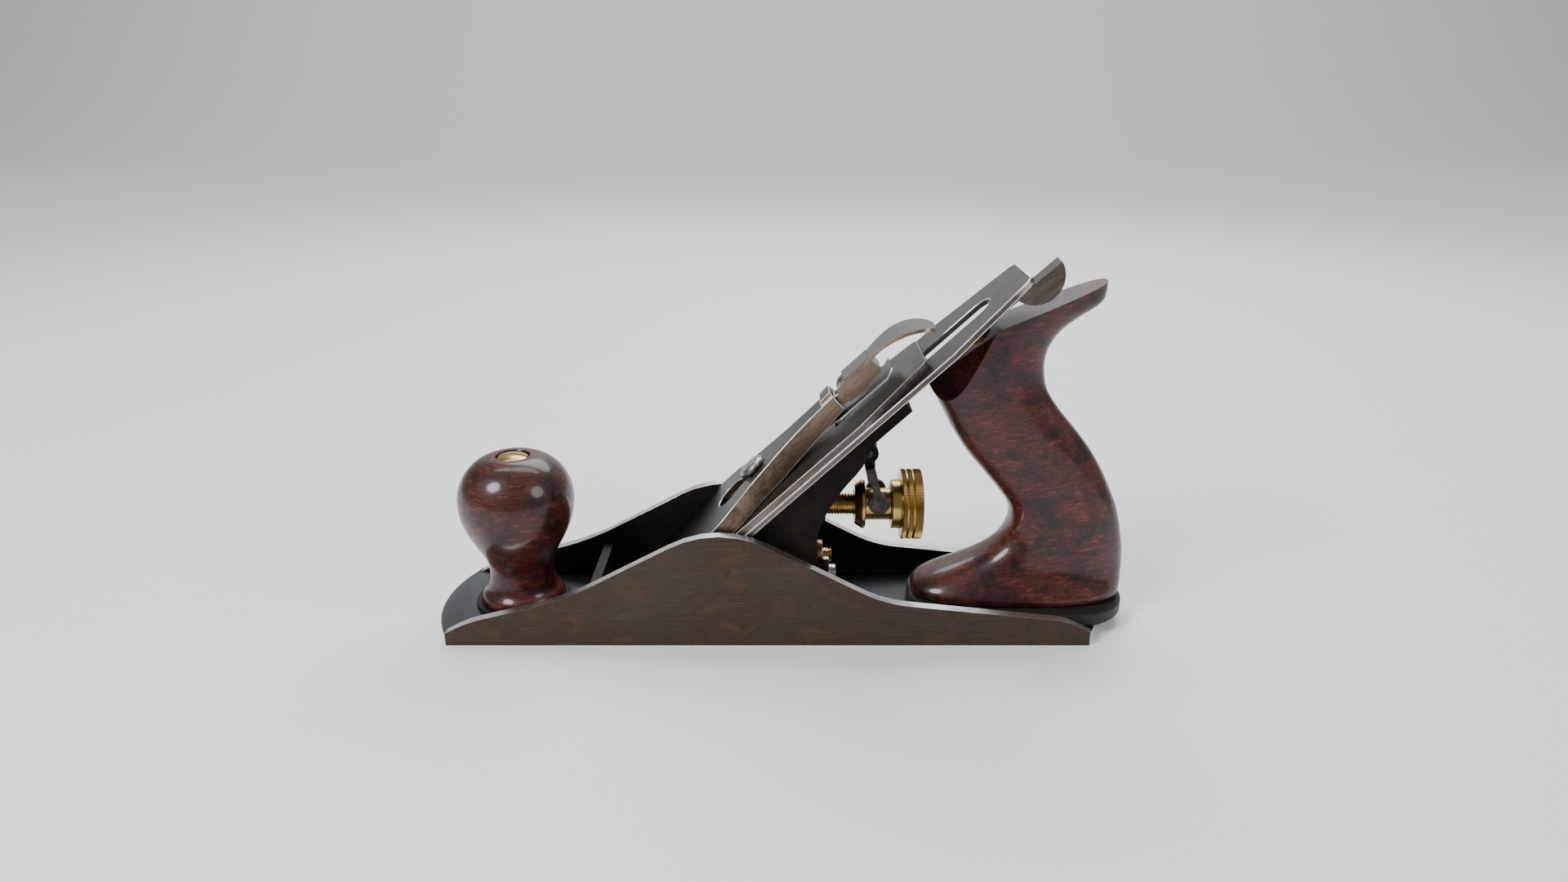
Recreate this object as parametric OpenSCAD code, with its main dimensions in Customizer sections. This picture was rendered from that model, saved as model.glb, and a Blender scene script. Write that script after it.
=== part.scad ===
// Hand plane: a small iron-bodied smoothing plane with a screw depth adjuster.
// Frame: origin on the underside of the sole at the middle of its length, on the centre line.
// +X points to the heel, +Y to the left of someone pushing the plane, +Z up. Millimetres.

/* [Sole] */
// Length of the sole along its centre line
sole_len = 240; // [225:1:300]
// Width over the cheeks
body_w = 54; // [50:1:66]
// Thickness of the sole
sole_t = 4.5; // [3.5:0.5:7]
// Radius of the rounded toe and heel in plan
end_r = 57; // [45:1:90]

/* [Cheeks] */
// Thickness of each cheek
cheek_t = 3.9; // [3:0.1:5.5]
// Height of the cheek hump beside the iron
hump_h = 41; // [36:1:48]
// Height of the cheeks where the straight rear rail starts
rail_h = 16; // [14:0.5:20]

/* [Bed and iron] */
// Angle of the iron above the sole
bed_angle = 43; // [41:1:45]
// Distance from the middle of the sole forward to where the bed meets the sole plane
bed_foot = 47.5; // [44:0.5:52]
// Width of the cutting iron
iron_w = 44.4; // [40:0.1:45]
// Thickness of the cutting iron
iron_t = 2.2; // [1.8:0.1:3.2]
// Length of the cutting iron
iron_len = 187; // [180:1:200]
// Thickness of the cap iron
cap_t = 2.4; // [2:0.1:3]
// Width of the slot in the iron
slot_w = 11.1; // [10.9:0.1:12]

/* [Lever cap] */
// Width of the lever cap at the lower end
lever_cap_w = 43; // [38:0.5:44]
// Width of the narrow bar at its upper end
bar_w = 11.4; // [10.4:0.2:14]

/* [Depth adjuster] */
// Diameter of the knurled wheel
wheel_d = 25.6; // [23:0.2:28]
// Diameter of the threaded stud
stud_d = 8; // [6:0.2:8.4]

/* [Frog] */
// Width of the frog
frog_w = 38; // [34:1:42]
// Height of the frog seat above the sole plane
seat_z = 9; // [8:0.5:11]
// Diameter of the frog screws
frog_screw_d = 4.8; // [4:0.2:6]

/* [Handles] */
// Largest diameter of the knob
knob_d = 41.4; // [36:0.2:44]
// Height of the knob
knob_h = 56.6; // [50:0.2:66]
// Diameter of the two handle rods
rod_d = 5.6; // [4.6:0.2:6.4]
// Thickness of the rear handle at mid height
tote_t = 23; // [20:0.5:27]
// Thickness of the plate under the rear handle
pad_t = 4.5; // [3:0.5:6]

/* [Fits] */
// Running clearance of a shaft in its hole, on the radius
run_c = 0.06; // [0.02:0.01:0.1]
// Gap between faces that slide past each other
gap = 0.2; // [0.15:0.05:0.3]

/* [Hidden] */
$fn = 64;
eps = 0.01;

// Colours
japan = [0.10, 0.09, 0.08];
steel = [0.55, 0.53, 0.50];
brass = [0.70, 0.55, 0.25];
rosewood = [0.36, 0.17, 0.14];
dark_iron = [0.25, 0.22, 0.20];

// ---- helpers -------------------------------------------------------------

function unit(v) = v / norm(v);

// Points of a cubic Bezier curve through its four control points, in n steps.
function bezier(a, b, c, d, n = 12) = [for (i = [0:n]) let (t = i / n, u = 1 - t)
    u * u * u * a + 3 * u * u * t * b + 3 * u * t * t * c + t * t * t * d];

// A corner b between a and c, rounded over a length r along each side.
function soft_corner(a, b, c, r, n) = r <= 0 ? [b] :
    let (p = b + unit(a - b) * r, q = b + unit(c - b) * r)
    [for (i = [0:n]) let (t = i / n) (1 - t) * (1 - t) * p + 2 * t * (1 - t) * b + t * t * q];

// A closed outline with every corner rounded over the length given beside it: [[x, y, r], ...].
function soft_outline(pts, n = 6) = let (m = len(pts)) [for (i = [0:m - 1])
    let (a = pts[(i + m - 1) % m], b = pts[i], c = pts[(i + 1) % m])
    each soft_corner([a[0], a[1]], [b[0], b[1]], [c[0], c[1]], b[2], n)];

// A profile drawn in the X-Z plane, extruded from y0 to y1.
module upright(pts, y0, y1) {
    translate([0, y1, 0])
        rotate([90, 0, 0])
            linear_extrude(height = y1 - y0)
                polygon(pts);
}

// Places children in the bed frame: local X runs up the bed, Z points away from it.
module on_bed() {
    translate([-bed_foot, 0, 0])
        rotate([0, -bed_angle, 0])
            children();
}

// A cylinder along X, Y or Z between two stations.
module rod_x(r, x0, x1) {
    translate([x0, 0, 0]) rotate([0, 90, 0]) cylinder(r = r, h = x1 - x0);
}
module rod_y(r, y0, y1) {
    translate([0, y1, 0]) rotate([90, 0, 0]) cylinder(r = r, h = y1 - y0);
}
module rod_z(r, z0, z1) {
    translate([0, 0, z0]) cylinder(r = r, h = z1 - z0);
}

// A slot with round ends along local X, cut along Z.
module slot_z(r, x0, x1, z0, z1) {
    translate([x0, 0, 0]) rod_z(r, z0, z1);
    translate([x1, 0, 0]) rod_z(r, z0, z1);
    translate([x0, -r, z0]) cube([x1 - x0, 2 * r, z1 - z0]);
}

// ---- derived places ------------------------------------------------------

half_l = sole_len / 2;
half_w = body_w / 2;
inner_y = half_w - cheek_t;
ca = cos(bed_angle);
sa = sin(bed_angle);
// World X and Z of a point s up the bed and n away from it.
function bx(s, n) = -bed_foot + s * ca - n * sa;
function bz(s, n) = s * sa + n * ca;
// The other way round: bed coordinates of a world point.
function bs(x, z) = (x + bed_foot) * ca + z * sa;
function bn(x, z) = -(x + bed_foot) * sa + z * ca;

iron_n = iron_t;                     // upper face of the iron
cap_n = iron_t + cap_t;              // upper face of the cap iron
edge_z = 0.25;                       // cutting edge above the sole plane at rest
edge_s = (edge_z - iron_n * ca) / sa;
frog_travel = 1.5;
mouth_gap = 1;
mouth_front = bx(edge_s, iron_n) - 3.2;

// Height of the stud above the sole; the yoke above it reaches the cap iron from here
stud_z = 42.8;

// Stations up the bed
cap_edge_s = edge_s + 1.6;
lever_screw_s = 69.5;
cap_screw_s = 88;
yoke_x = 35.5;
yoke_z = stud_z + 21.2;
yoke_s = bs(yoke_x, yoke_z);
yoke_n = bn(yoke_x, yoke_z);
yoke_w = 5.6;
ear_y0 = yoke_w / 2 + gap;
ear_t = 3;
pin_r = 1.5;
roller_s = 115.6;
roller_r = 4.5;
lateral_s = 123.4;
frog_top_s = 127.5;
cam_s = 114;
cam_n = cap_n + 7.5;
cam_y = 5.7;
cam_pin_r = 1.4;
tongue_y = 3.1;
lever_screw_r = 3.1;
lever_head_r = 5.2;
key_r = 6.2;
cap_slide = 12.5;
spring_rivet_s = 84;

// Knob
knob_x = -(half_l - 28.9);
knob_z = sole_t + 0.4;
knob_seat_r = 14.8;
knob_ring_r = 17.3;

// Tote and its plate
pad_front = 52;
pad_back = half_l + 9.8;
pad_z = sole_t + pad_t;
tote_rod_foot = [110, pad_z];
tote_rod_lean = 22;

// Wheel stations along X
groove_x0 = 34.9;
groove_x1 = 44.3;
flange_x = 31.2;
groove_r = stud_d / 2 + 1.75;
flange_r = groove_r + 3.1;
bush_r = stud_d / 2 + 0.85;
prong_x = (groove_x0 + groove_x1) / 2;
prong_z = stud_z + 2.8;
prong_r = (groove_x1 - groove_x0) / 2 - 0.95;
prong_y0 = groove_r + 0.3;
prong_y1 = prong_y0 + 2.1;
wheel_back = groove_x1 + 11.2;

// Frog
frog_y = frog_w / 2;
frog_back_x = 15.6;
seat_x0 = bx(0, 0) + (seat_z + 1.2) * ca / sa + 3.6;
nose_z = sole_t + 0.4;
nose_s = nose_z / sa;
nose_back_x = seat_x0 - frog_travel;
plate_t = 4.4;
rib_t = 4;
lug_room = 5.2;
clip_x = 20;
clip_t = 2.2;
clip_screw_z = 14.6;
// Height of the underside of the bed plate above a given x.
function bed_under(x) = (-plate_t + (x + bed_foot) * sa) / ca;
frog_screw_x = -14;
frog_screw_y = 11.5;
frog_floor_z = seat_z + 6.5;
adjust_z = 22.6;
adjust_r = 2.8;
adjust_head_r = 5.4;
adjust_neck_r = 1.9;
clip_head_r = 3.8;
adjust_tip_r = 2.3;

// ---- body ----------------------------------------------------------------

// The two round ends only meet a short plane, so the middle is drawn as a rectangle.
module sole_plan() {
    reach = end_r - sqrt(end_r * end_r - half_w * half_w);
    union() {
        square([sole_len - 2 * reach, body_w], center = true);
        for (s = [-1, 1])
            intersection() {
                translate([s * (half_l - end_r), 0]) circle(r = end_r, $fn = 180);
                translate([s * (half_l - reach), 0]) square([2 * reach + 4, body_w], center = true);
            }
    }
}

// Side view of a cheek: toe ramp, hump beside the iron, rail to the heel.
hump_vertex = hump_h + 5.3;
cheek_line = [
    [-half_l - 1, 0, 0],
    [-half_l - 1, sole_t, 0],
    [-half_l + 6.7, sole_t, 0],
    [-half_l + 14.5, sole_t + 4.2, 5],
    [-70.8, sole_t + 13.1, 12],
    [-16.5, hump_vertex, 20],
    [40.7, rail_h + 0.2, 9],
    [half_l - 14.8, sole_t + 4.8, 5],
    [half_l - 5.8, sole_t, 0],
    [half_l + 1, sole_t, 0],
    [half_l + 1, 0, 0]];

module frog_seat() {
    difference() {
        translate([seat_x0, -frog_y + 1.5, sole_t - 1])
            cube([frog_back_x - 1 - seat_x0, frog_w - 3, seat_z - sole_t + 1]);
        // relief between the two bearing pads
        translate([seat_x0 + 6, -frog_y + 5.5, sole_t + 1.2])
            cube([12, frog_w - 11, seat_z]);
    }
    // lug that takes the thread of the frog adjusting screw
    difference() {
        upright(soft_outline([[1, sole_t, 0], [10, sole_t, 0], [8.5, adjust_z + 5, 3],
            [2.5, adjust_z + 5, 3]]), -4.5, 4.5);
        translate([0, 0, adjust_z]) rod_x(adjust_r + run_c, 0, 12);
    }
}

module mouth_cut() {
    // open front wall, rear wall parallel to the iron
    upright([[mouth_front, -1], [bx(-1, -mouth_gap), bz(-1, -mouth_gap)],
        [bx(12, -mouth_gap), bz(12, -mouth_gap)], [mouth_front - 2.4, bz(12, -mouth_gap)],
        [mouth_front - 2.4, sole_t], [mouth_front, 0.8]], -inner_y, inner_y);
}

module body_casting() {
    color(japan)
    difference() {
        intersection() {
            linear_extrude(height = 2 * hump_h) sole_plan();
            union() {
                translate([-half_l - 1, -half_w, 0]) cube([sole_len + 2, body_w, sole_t]);
                upright(soft_outline(cheek_line), -half_w, -inner_y);
                upright(soft_outline(cheek_line), inner_y, half_w);
                // cross rib ahead of the mouth
                translate([-64, -inner_y - 1, sole_t - 1]) cube([3.4, 2 * inner_y + 2, 13.6]);
                frog_seat();
                // raised ring that locates the knob
                translate([knob_x, 0, 0]) rod_z(knob_ring_r, sole_t - 1, sole_t + 1.4);
                // boss that takes the rear rod
                translate([tote_rod_foot[0], 0, 0]) rod_z(6.5, sole_t - 1, sole_t + 2);
            }
        }
        mouth_cut();
        for (s = [-1, 1])
            translate([frog_screw_x, s * frog_screw_y, 0])
                rod_z(frog_screw_d / 2 + run_c, 1.2, seat_z + 1);
        // recess inside the ring and the threaded hole for the knob rod
        translate([knob_x, 0, 0]) {
            rod_z(knob_seat_r + 0.4, sole_t + 0.4, sole_t + 3);
            rod_z(rod_d / 2 + run_c, 1, sole_t + 2);
        }
        tote_rod_axis() rod_z(rod_d / 2 + run_c, -4, 8);
    }
}

// ---- knob ----------------------------------------------------------------

// Right half of the knob's profile: bead, waist, bulb.
knob_r = knob_d / 2;
knob_top = knob_z + knob_h;
knob_profile = concat(
    [[0, knob_z], [knob_seat_r - 1.2, knob_z]],
    bezier([knob_seat_r - 0.6, knob_z + 0.2], [knob_seat_r + 0.9, knob_z + 1.4],
        [knob_seat_r + 0.3, knob_z + 4.6], [knob_seat_r - 1.6, knob_z + 5.6], 8),
    bezier([12.7, knob_z + 7.4], [11.2, knob_z + 11.5], [11.1, knob_z + 14.5],
        [12.4, knob_z + 17.6], 8),
    bezier([13.3, knob_z + 19.6], [16, knob_z + 24.6], [knob_r, knob_z + 31], [knob_r, knob_z + 40], 12),
    bezier([knob_r - 0.15, knob_z + 42.5], [knob_r - 1.2, knob_z + 51], [12.4, knob_top - 0.3],
        [7, knob_top], 12),
    [[0, knob_top]]);

nut_r = 5.8;
nut_seat_z = knob_top - 3;

module front_knob() {
    color(rosewood)
    translate([knob_x, 0, 0])
    difference() {
        rotate_extrude() polygon(knob_profile);
        rod_z(rod_d / 2 + 0.4, 0, knob_top + 1);
        rod_z(nut_r + 0.15, nut_seat_z, knob_top + 1);
        rod_z(4.6, knob_top - 18, knob_top + 1);
    }
}

// Slotted brass barrel nut, seat at z = 0, hollow for the rod.
module slotted_nut(head_h) {
    difference() {
        union() {
            rotate_extrude() polygon(concat([[0, 0], [nut_r, 0], [nut_r, head_h * 0.55]],
                bezier([nut_r - 0.3, head_h * 0.75], [nut_r - 1.6, head_h], [1.6, head_h + 0.35],
                    [0, head_h + 0.35], 6)));
            rod_z(4.4, -13, eps);
        }
        rod_z(rod_d / 2 + run_c, -14, head_h * 0.45);
        translate([-nut_r - 1, -0.6, head_h * 0.55]) cube([2 * nut_r + 2, 1.2, head_h]);
    }
}

module knob_nut() {
    color(brass) translate([knob_x, 0, nut_seat_z]) slotted_nut(3.2);
}

module knob_rod() {
    color(steel) translate([knob_x, 0, 0]) rod_z(rod_d / 2, 1.2, nut_seat_z + 1);
}

// ---- tote ----------------------------------------------------------------

// Front and back outline of the tote in side view, from the foot to the horn.
function curve_at(c, z) = lookup(z, c);
tote_h = 118;
tote_front = concat(
    bezier([pad_z, 53.5], [pad_z + 6, 52.5], [pad_z + 12, 68], [pad_z + 15, 75], 6),
    bezier([pad_z + 16.5, 79], [pad_z + 20, 86.5], [pad_z + 27, 87.6], [pad_z + 31, 87.6], 6),
    bezier([pad_z + 34, 86.6], [pad_z + 42, 82], [pad_z + 48, 74.5], [pad_z + 56, 69.5], 6),
    bezier([pad_z + 58, 68.3], [pad_z + 66, 63.5], [pad_z + 72, 60], [pad_z + 79, 56], 5),
    [[pad_z + 90, 51], [pad_z + tote_h, 48]]);
tote_back = concat(
    bezier([pad_z, 128.4], [pad_z + 8, 129.6], [pad_z + 18, 129.6], [pad_z + 26, 127.6], 6),
    bezier([pad_z + 30, 126.4], [pad_z + 40, 124.2], [pad_z + 53, 117.6], [pad_z + 62, 109], 6),
    bezier([pad_z + 66, 105.6], [pad_z + 74, 99], [pad_z + 82, 96.2], [pad_z + 89, 95.8], 6),
    bezier([pad_z + 92, 96], [pad_z + 97, 97.5], [pad_z + 102, 104], [pad_z + 106, 111], 6),
    [[pad_z + 109, 114.6], [pad_z + 113, 115.2], [pad_z + tote_h, 115.4]]);
// Half thickness at each height: flared foot, even grip.
tote_half = [[pad_z, 17], [pad_z + 3, 16.4], [pad_z + 8, 14], [pad_z + 14, 12.4], [pad_z + 22, tote_t / 2],
    [pad_z + 70, tote_t / 2], [pad_z + 90, tote_t / 2 - 1], [pad_z + tote_h, tote_t / 2 - 1.6]];
tote_sides = 28;
tote_levels = [for (i = [0:40]) pad_z + tote_h * i / 40];

// One level ring: a rounded box between front and back.
function tote_ring(z) = let (x0 = curve_at(tote_front, z), x1 = curve_at(tote_back, z),
    cx = (x0 + x1) / 2, rx = (x1 - x0) / 2, ry = curve_at(tote_half, z), k = 0.72)
    [for (i = [0:tote_sides - 1]) let (a = 360 * i / tote_sides, c = cos(a), s = sin(a))
        [cx + rx * sign(c) * pow(abs(c), k), ry * sign(s) * pow(abs(s), k), z]];

function skin(rings, m) = concat(
    [[for (i = [0:m - 1]) i]],
    [[for (i = [0:m - 1]) (len(rings) - 1) * m + m - 1 - i]],
    [for (r = [0:len(rings) - 2], i = [0:m - 1]) let (j = (i + 1) % m, b = r * m)
        [b + i, b + m + i, b + m + j]],
    [for (r = [0:len(rings) - 2], i = [0:m - 1]) let (j = (i + 1) % m, b = r * m)
        [b + i, b + m + j, b + j]]);

module tote_blank() {
    rings = [for (z = tote_levels) tote_ring(z)];
    polyhedron(points = [for (r = rings, p = r) p], faces = skin(rings, tote_sides));
}

// Places children at the foot of the rear rod, with Z along the rod.
module tote_rod_axis() {
    translate([tote_rod_foot[0], 0, tote_rod_foot[1]])
        rotate([0, -tote_rod_lean, 0])
            children();
}

tote_top_x = 78;
tote_top_z = pad_z + 100.2;
horn_slope = 22.5;
// A point on the ridge at the front, and the way its two flats face
ridge_x = 56.2;
ridge_z = pad_z + 78.9;
ridge_tilt = 70;
ridge_turn = 135.6;
tote_nut_h = 97;

module tote() {
    color(rosewood)
    difference() {
        tote_blank();
        // the fall towards the iron, then the flat top of the horn
        upright([[tote_top_x - 60, tote_top_z - 60 * tan(bed_angle)], [tote_top_x, tote_top_z],
            [tote_top_x + 50, tote_top_z + 50 * tan(horn_slope)], [tote_top_x + 50, tote_top_z + 90],
            [tote_top_x - 60, tote_top_z + 90]], -30, 30);
        // the two flats that meet in a ridge below the top
        for (s = [-1, 1])
            translate([ridge_x, 0, ridge_z])
                rotate([0, ridge_tilt, s * ridge_turn])
                    translate([-60, -60, 0])
                        cube([120, 120, 50]);
        tote_rod_axis() {
            rod_z(rod_d / 2 + 0.4, -10, 130);
            rod_z(nut_r + 0.15, tote_nut_h, 130);
            rod_z(4.6, tote_nut_h - 15, 130);
        }
    }
}

module tote_plate() {
    color(japan)
    difference() {
        translate([0, 0, sole_t])
            linear_extrude(height = pad_t)
                polygon(soft_outline([[pad_front, -12, 8], [pad_front + 26, -inner_y + 1.2, 14],
                    [118, -inner_y + 1.2, 8.2], [pad_back, -10, 8.2], [pad_back, 10, 8.2],
                    [118, inner_y - 1.2, 8.2], [pad_front + 26, inner_y - 1.2, 14],
                    [pad_front, 12, 8]]));
        translate([tote_rod_foot[0], 0, 0]) rod_z(6.5 + gap, 0, sole_t + 2.2);
        tote_rod_axis() rod_z(rod_d / 2 + 0.4, -10, 10);
    }
}

module tote_rod() {
    color(steel) tote_rod_axis() rod_z(rod_d / 2, -3.5, tote_nut_h + 1);
}

module tote_nut() {
    color(brass) tote_rod_axis() translate([0, 0, tote_nut_h]) slotted_nut(3);
}

// ---- frog ----------------------------------------------------------------

// Side view of the ribs: bed face in front, stepped curve behind.
frog_side = concat(
    [[bx(nose_s, 0), nose_z], [bx(frog_top_s, 0), bz(frog_top_s, 0)],
        [bx(frog_top_s, -plate_t + 0.8), bz(frog_top_s, -plate_t + 0.8)],
        [bx(110.5, -plate_t), bz(110.5, -plate_t)], [32.7, 64.2]],
    bezier([30.6, 61.2], [25.5, 55.5], [19.2, 47], [17.4, 37.5], 8),
    [[17.6, 30], [18, 21], [frog_back_x, 16], [frog_back_x, seat_z], [nose_back_x, seat_z],
        [nose_back_x, nose_z]]);

module frog() {
    color(japan)
    difference() {
        union() {
            // two side ribs, the base between them and the back wall
            upright(frog_side, -frog_y, -frog_y + rib_t);
            upright(frog_side, frog_y - rib_t, frog_y);
            translate([nose_back_x, -frog_y + 1, seat_z])
                cube([frog_back_x - nose_back_x, frog_w - 2, frog_floor_z - seat_z]);
            translate([frog_back_x - 3.4, -frog_y + 1, seat_z])
                cube([3.4, frog_w - 2, bed_under(frog_back_x - 3.4) + 2 - seat_z]);
            // bed plate
            on_bed() translate([nose_s, -frog_y, -plate_t])
                cube([frog_top_s - nose_s, frog_w, plate_t]);
            upright([[bx(nose_s, 0), nose_z], [bx(nose_s + 9, 0), bz(nose_s + 9, 0)],
                [nose_back_x, bz(nose_s + 9, 0)], [nose_back_x, nose_z]], -frog_y, frog_y);
            // boss of the stud, boss of the lever cap screw, ears of the yoke pin
            translate([0, 0, stud_z]) rod_x(7.4, frog_back_x - 8, 20.6);
            on_bed() translate([lever_screw_s, 0, 0]) rod_z(6.2, -10, -1);
            for (s = [-1, 1])
                on_bed() translate([0, s > 0 ? ear_y0 : -ear_y0 - ear_t, 0]) {
                    translate([yoke_s, 0, yoke_n]) rod_y(3.6, 0, ear_t);
                    translate([yoke_s - 3.6, 0, yoke_n]) cube([7.2, ear_t, -yoke_n - 1]);
                }
            // pad that carries the clip
            translate([frog_back_x - 2, -5, seat_z]) cube([clip_x - frog_back_x + 2, 10, 7.6]);
        }
        // clean bed face, open below the nose and below the seat
        on_bed() translate([-40, -40, 0]) cube([220, 80, 40]);
        translate([-60, -40, -20]) cube([120, 80, 20 + nose_z]);
        translate([nose_back_x, -40, -20]) cube([90, 80, 20 + seat_z]);
        // room for the lug of the casting and for the adjusting screw
        translate([-1, -lug_room, seat_z - 1]) cube([frog_back_x - 2.4, 2 * lug_room, 24]);
        translate([0, 0, adjust_z]) rod_x(adjust_r + 0.4, 0, frog_back_x + 4);
        translate([0, 0, adjust_z]) rod_x(adjust_head_r + 0.5, frog_back_x + 0.4, frog_back_x + 8);
        // the frog screws: oblong slots in the base, open wells above them
        for (s = [-1, 1])
            translate([frog_screw_x, s * frog_screw_y, 0]) {
                slot_z(frog_screw_d / 2 + 0.4, -frog_travel, frog_travel, seat_z - 1, frog_floor_z + 1);
                slot_z(6.6, -frog_travel, frog_travel, frog_floor_z, 60);
            }
        on_bed() {
            // lever cap screw, head of the cap iron screw, yoke, lateral lever and its pivot
            translate([lever_screw_s, 0, 0]) rod_z(lever_screw_r + run_c, -9.5, 5);
            slot_z(8.3, cap_screw_s - 1.7, cap_screw_s + 2.5, -3.3, 5);
            translate([yoke_s - 3.6, -yoke_w / 2 - gap, -9]) cube([6.8, yoke_w + 2 * gap, 14]);
            translate([0, 0, -3.1]) linear_extrude(height = 6) lateral_recess();
            translate([lateral_s, 0, 0]) rod_z(1.6 + eps, -plate_t - 1, 1);
            translate([yoke_s, 0, yoke_n]) rod_y(pin_r + eps, -12, 12);
        }
        translate([0, 0, stud_z]) rod_x(stud_d / 2 + eps, 13.4, 30);
        translate([0, 0, clip_screw_z]) rod_x(1.6 + eps, frog_back_x - 3, clip_x + 1);
    }
}

module frog_screws() {
    color(steel)
    for (s = [-1, 1])
        translate([frog_screw_x, s * frog_screw_y, 0])
            difference() {
                union() {
                    rod_z(frog_screw_d / 2, 1.4, frog_floor_z + 1.6);
                    rod_z(4.6, frog_floor_z + 1.2, frog_floor_z + 4);
                }
                translate([-6, -0.6, frog_floor_z + 2.8]) cube([12, 1.2, 3]);
            }
}

module frog_screw_washers() {
    color(steel)
    for (s = [-1, 1])
        translate([frog_screw_x, s * frog_screw_y, 0])
            difference() {
                rod_z(5.6, frog_floor_z, frog_floor_z + 1.2);
                rod_z(frog_screw_d / 2 + run_c, frog_floor_z - 1, frog_floor_z + 2);
            }
}

// Brass screw that moves the frog: thread, round head, neck for the clip, slotted end.
module frog_adjusting_screw() {
    color(brass)
    translate([0, 0, adjust_z])
    difference() {
        union() {
            rod_x(adjust_r, 2, clip_x - gap);
            rod_x(adjust_head_r, frog_back_x + 1, clip_x - gap);
            rod_x(adjust_neck_r, clip_x - gap - 1, clip_x + clip_t + gap + 0.3);
            rod_x(adjust_tip_r, clip_x + clip_t + gap, clip_x + clip_t + 1);
        }
        translate([clip_x + clip_t + 0.6, -0.5, -6]) cube([3, 1, 12]);
    }
}

module frog_clip() {
    color(steel)
    difference() {
        translate([clip_x, -5, seat_z + 0.5]) cube([clip_t, 10, adjust_z - 0.1 - seat_z]);
        translate([0, 0, adjust_z]) rod_x(adjust_neck_r + gap, clip_x - 1, clip_x + 3);
        translate([clip_x - 1, -adjust_neck_r - gap, adjust_z])
            cube([4, 2 * (adjust_neck_r + gap), 9]);
        translate([0, 0, clip_screw_z]) rod_x(1.6 + run_c, clip_x - 1, clip_x + 3);
    }
}

module frog_clip_screws() {
    color(steel)
    translate([0, 0, clip_screw_z])
    difference() {
        union() {
            rod_x(1.6, frog_back_x - 2, clip_x + clip_t + 1);
            rod_x(clip_head_r, clip_x + clip_t, clip_x + clip_t + 2.6);
        }
        translate([clip_x + clip_t + 1.5, -4, -0.4]) cube([2, 8, 0.8]);
    }
}

// ---- depth adjuster ------------------------------------------------------

module depth_stud() {
    color(brass) translate([0, 0, stud_z]) rod_x(stud_d / 2, 13.4, wheel_back - 5);
}

// Thin threaded lining of the wheel; it carries the wheel along the stud.
module depth_wheel_bush() {
    color(brass)
    translate([0, 0, stud_z])
    difference() {
        rod_x(bush_r, flange_x + 1.6, wheel_back - 1.5);
        rod_x(stud_d / 2 + run_c, flange_x, wheel_back);
    }
}

module depth_wheel() {
    wr = wheel_d / 2;
    w0 = groove_x1 + 3.4;
    profile = [
        [bush_r + run_c, flange_x], [stud_d / 2 + 3, flange_x], [flange_r, flange_x + 2.4],
        [flange_r, groove_x0], [groove_r, groove_x0], [groove_r, groove_x1], [flange_r, groove_x1],
        [flange_r, w0], [wr - 0.8, w0], [wr, w0 + 0.7], [wr, w0 + 2], [wr - 0.9, w0 + 2.3],
        [wr - 0.9, w0 + 3], [wr, w0 + 3.3], [wr, w0 + 5.1], [wr - 0.9, w0 + 5.4],
        [wr - 0.9, w0 + 5.8], [wr, w0 + 6.1], [wr, w0 + 7.1], [wr - 0.8, wheel_back],
        [wr - 2.6, wheel_back], [wr - 3.4, wheel_back - 1.2], [bush_r + 2.4, wheel_back - 1.2],
        [bush_r + 1.6, wheel_back], [bush_r + run_c, wheel_back]];
    color(brass)
    translate([0, 0, stud_z])
        rotate([0, 90, 0])
            rotate_extrude($fn = 96)
                polygon(profile);
}

// ---- yoke ----------------------------------------------------------------

module y_lever() {
    leg = [[yoke_x - 1.2, yoke_z - 5], [yoke_x + 2.2, yoke_z - 5], [prong_x + 1.3, prong_z + 2],
        [prong_x - 1.3, prong_z + 2]];
    color(dark_iron)
    difference() {
        union() {
            on_bed() {
                translate([yoke_s - 1.6, -yoke_w / 2, yoke_n]) cube([2.6, yoke_w, cap_n - 0.5 - yoke_n]);
                translate([yoke_s, 0, yoke_n]) rod_y(3.2, -yoke_w / 2, yoke_w / 2);
            }
            // stem, bar across the wheel and the two prongs
            upright([[yoke_x - 2, yoke_z], [yoke_x + 2.6, yoke_z], [yoke_x + 2.9, yoke_z - 9.6],
                [yoke_x - 0.2, yoke_z - 9.6]], -yoke_w / 2, yoke_w / 2);
            upright([[yoke_x - 0.7, yoke_z - 5.6], [yoke_x + 2.4, yoke_z - 5.6],
                [yoke_x + 2.9, yoke_z - 9.6], [yoke_x - 0.2, yoke_z - 9.6]], -prong_y1, prong_y1);
            for (s = [-1, 1])
                translate([0, s > 0 ? prong_y0 : -prong_y1, 0]) {
                    upright(leg, 0, prong_y1 - prong_y0);
                    translate([prong_x, 0, prong_z]) rod_y(prong_r, 0, prong_y1 - prong_y0);
                }
        }
        on_bed() translate([yoke_s, 0, yoke_n]) rod_y(pin_r + run_c, -12, 12);
    }
}

module y_lever_pin() {
    color(steel)
    on_bed() translate([yoke_s, 0, yoke_n]) rod_y(pin_r, -ear_y0 - ear_t, ear_y0 + ear_t);
}

// ---- lateral lever -------------------------------------------------------

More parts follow.
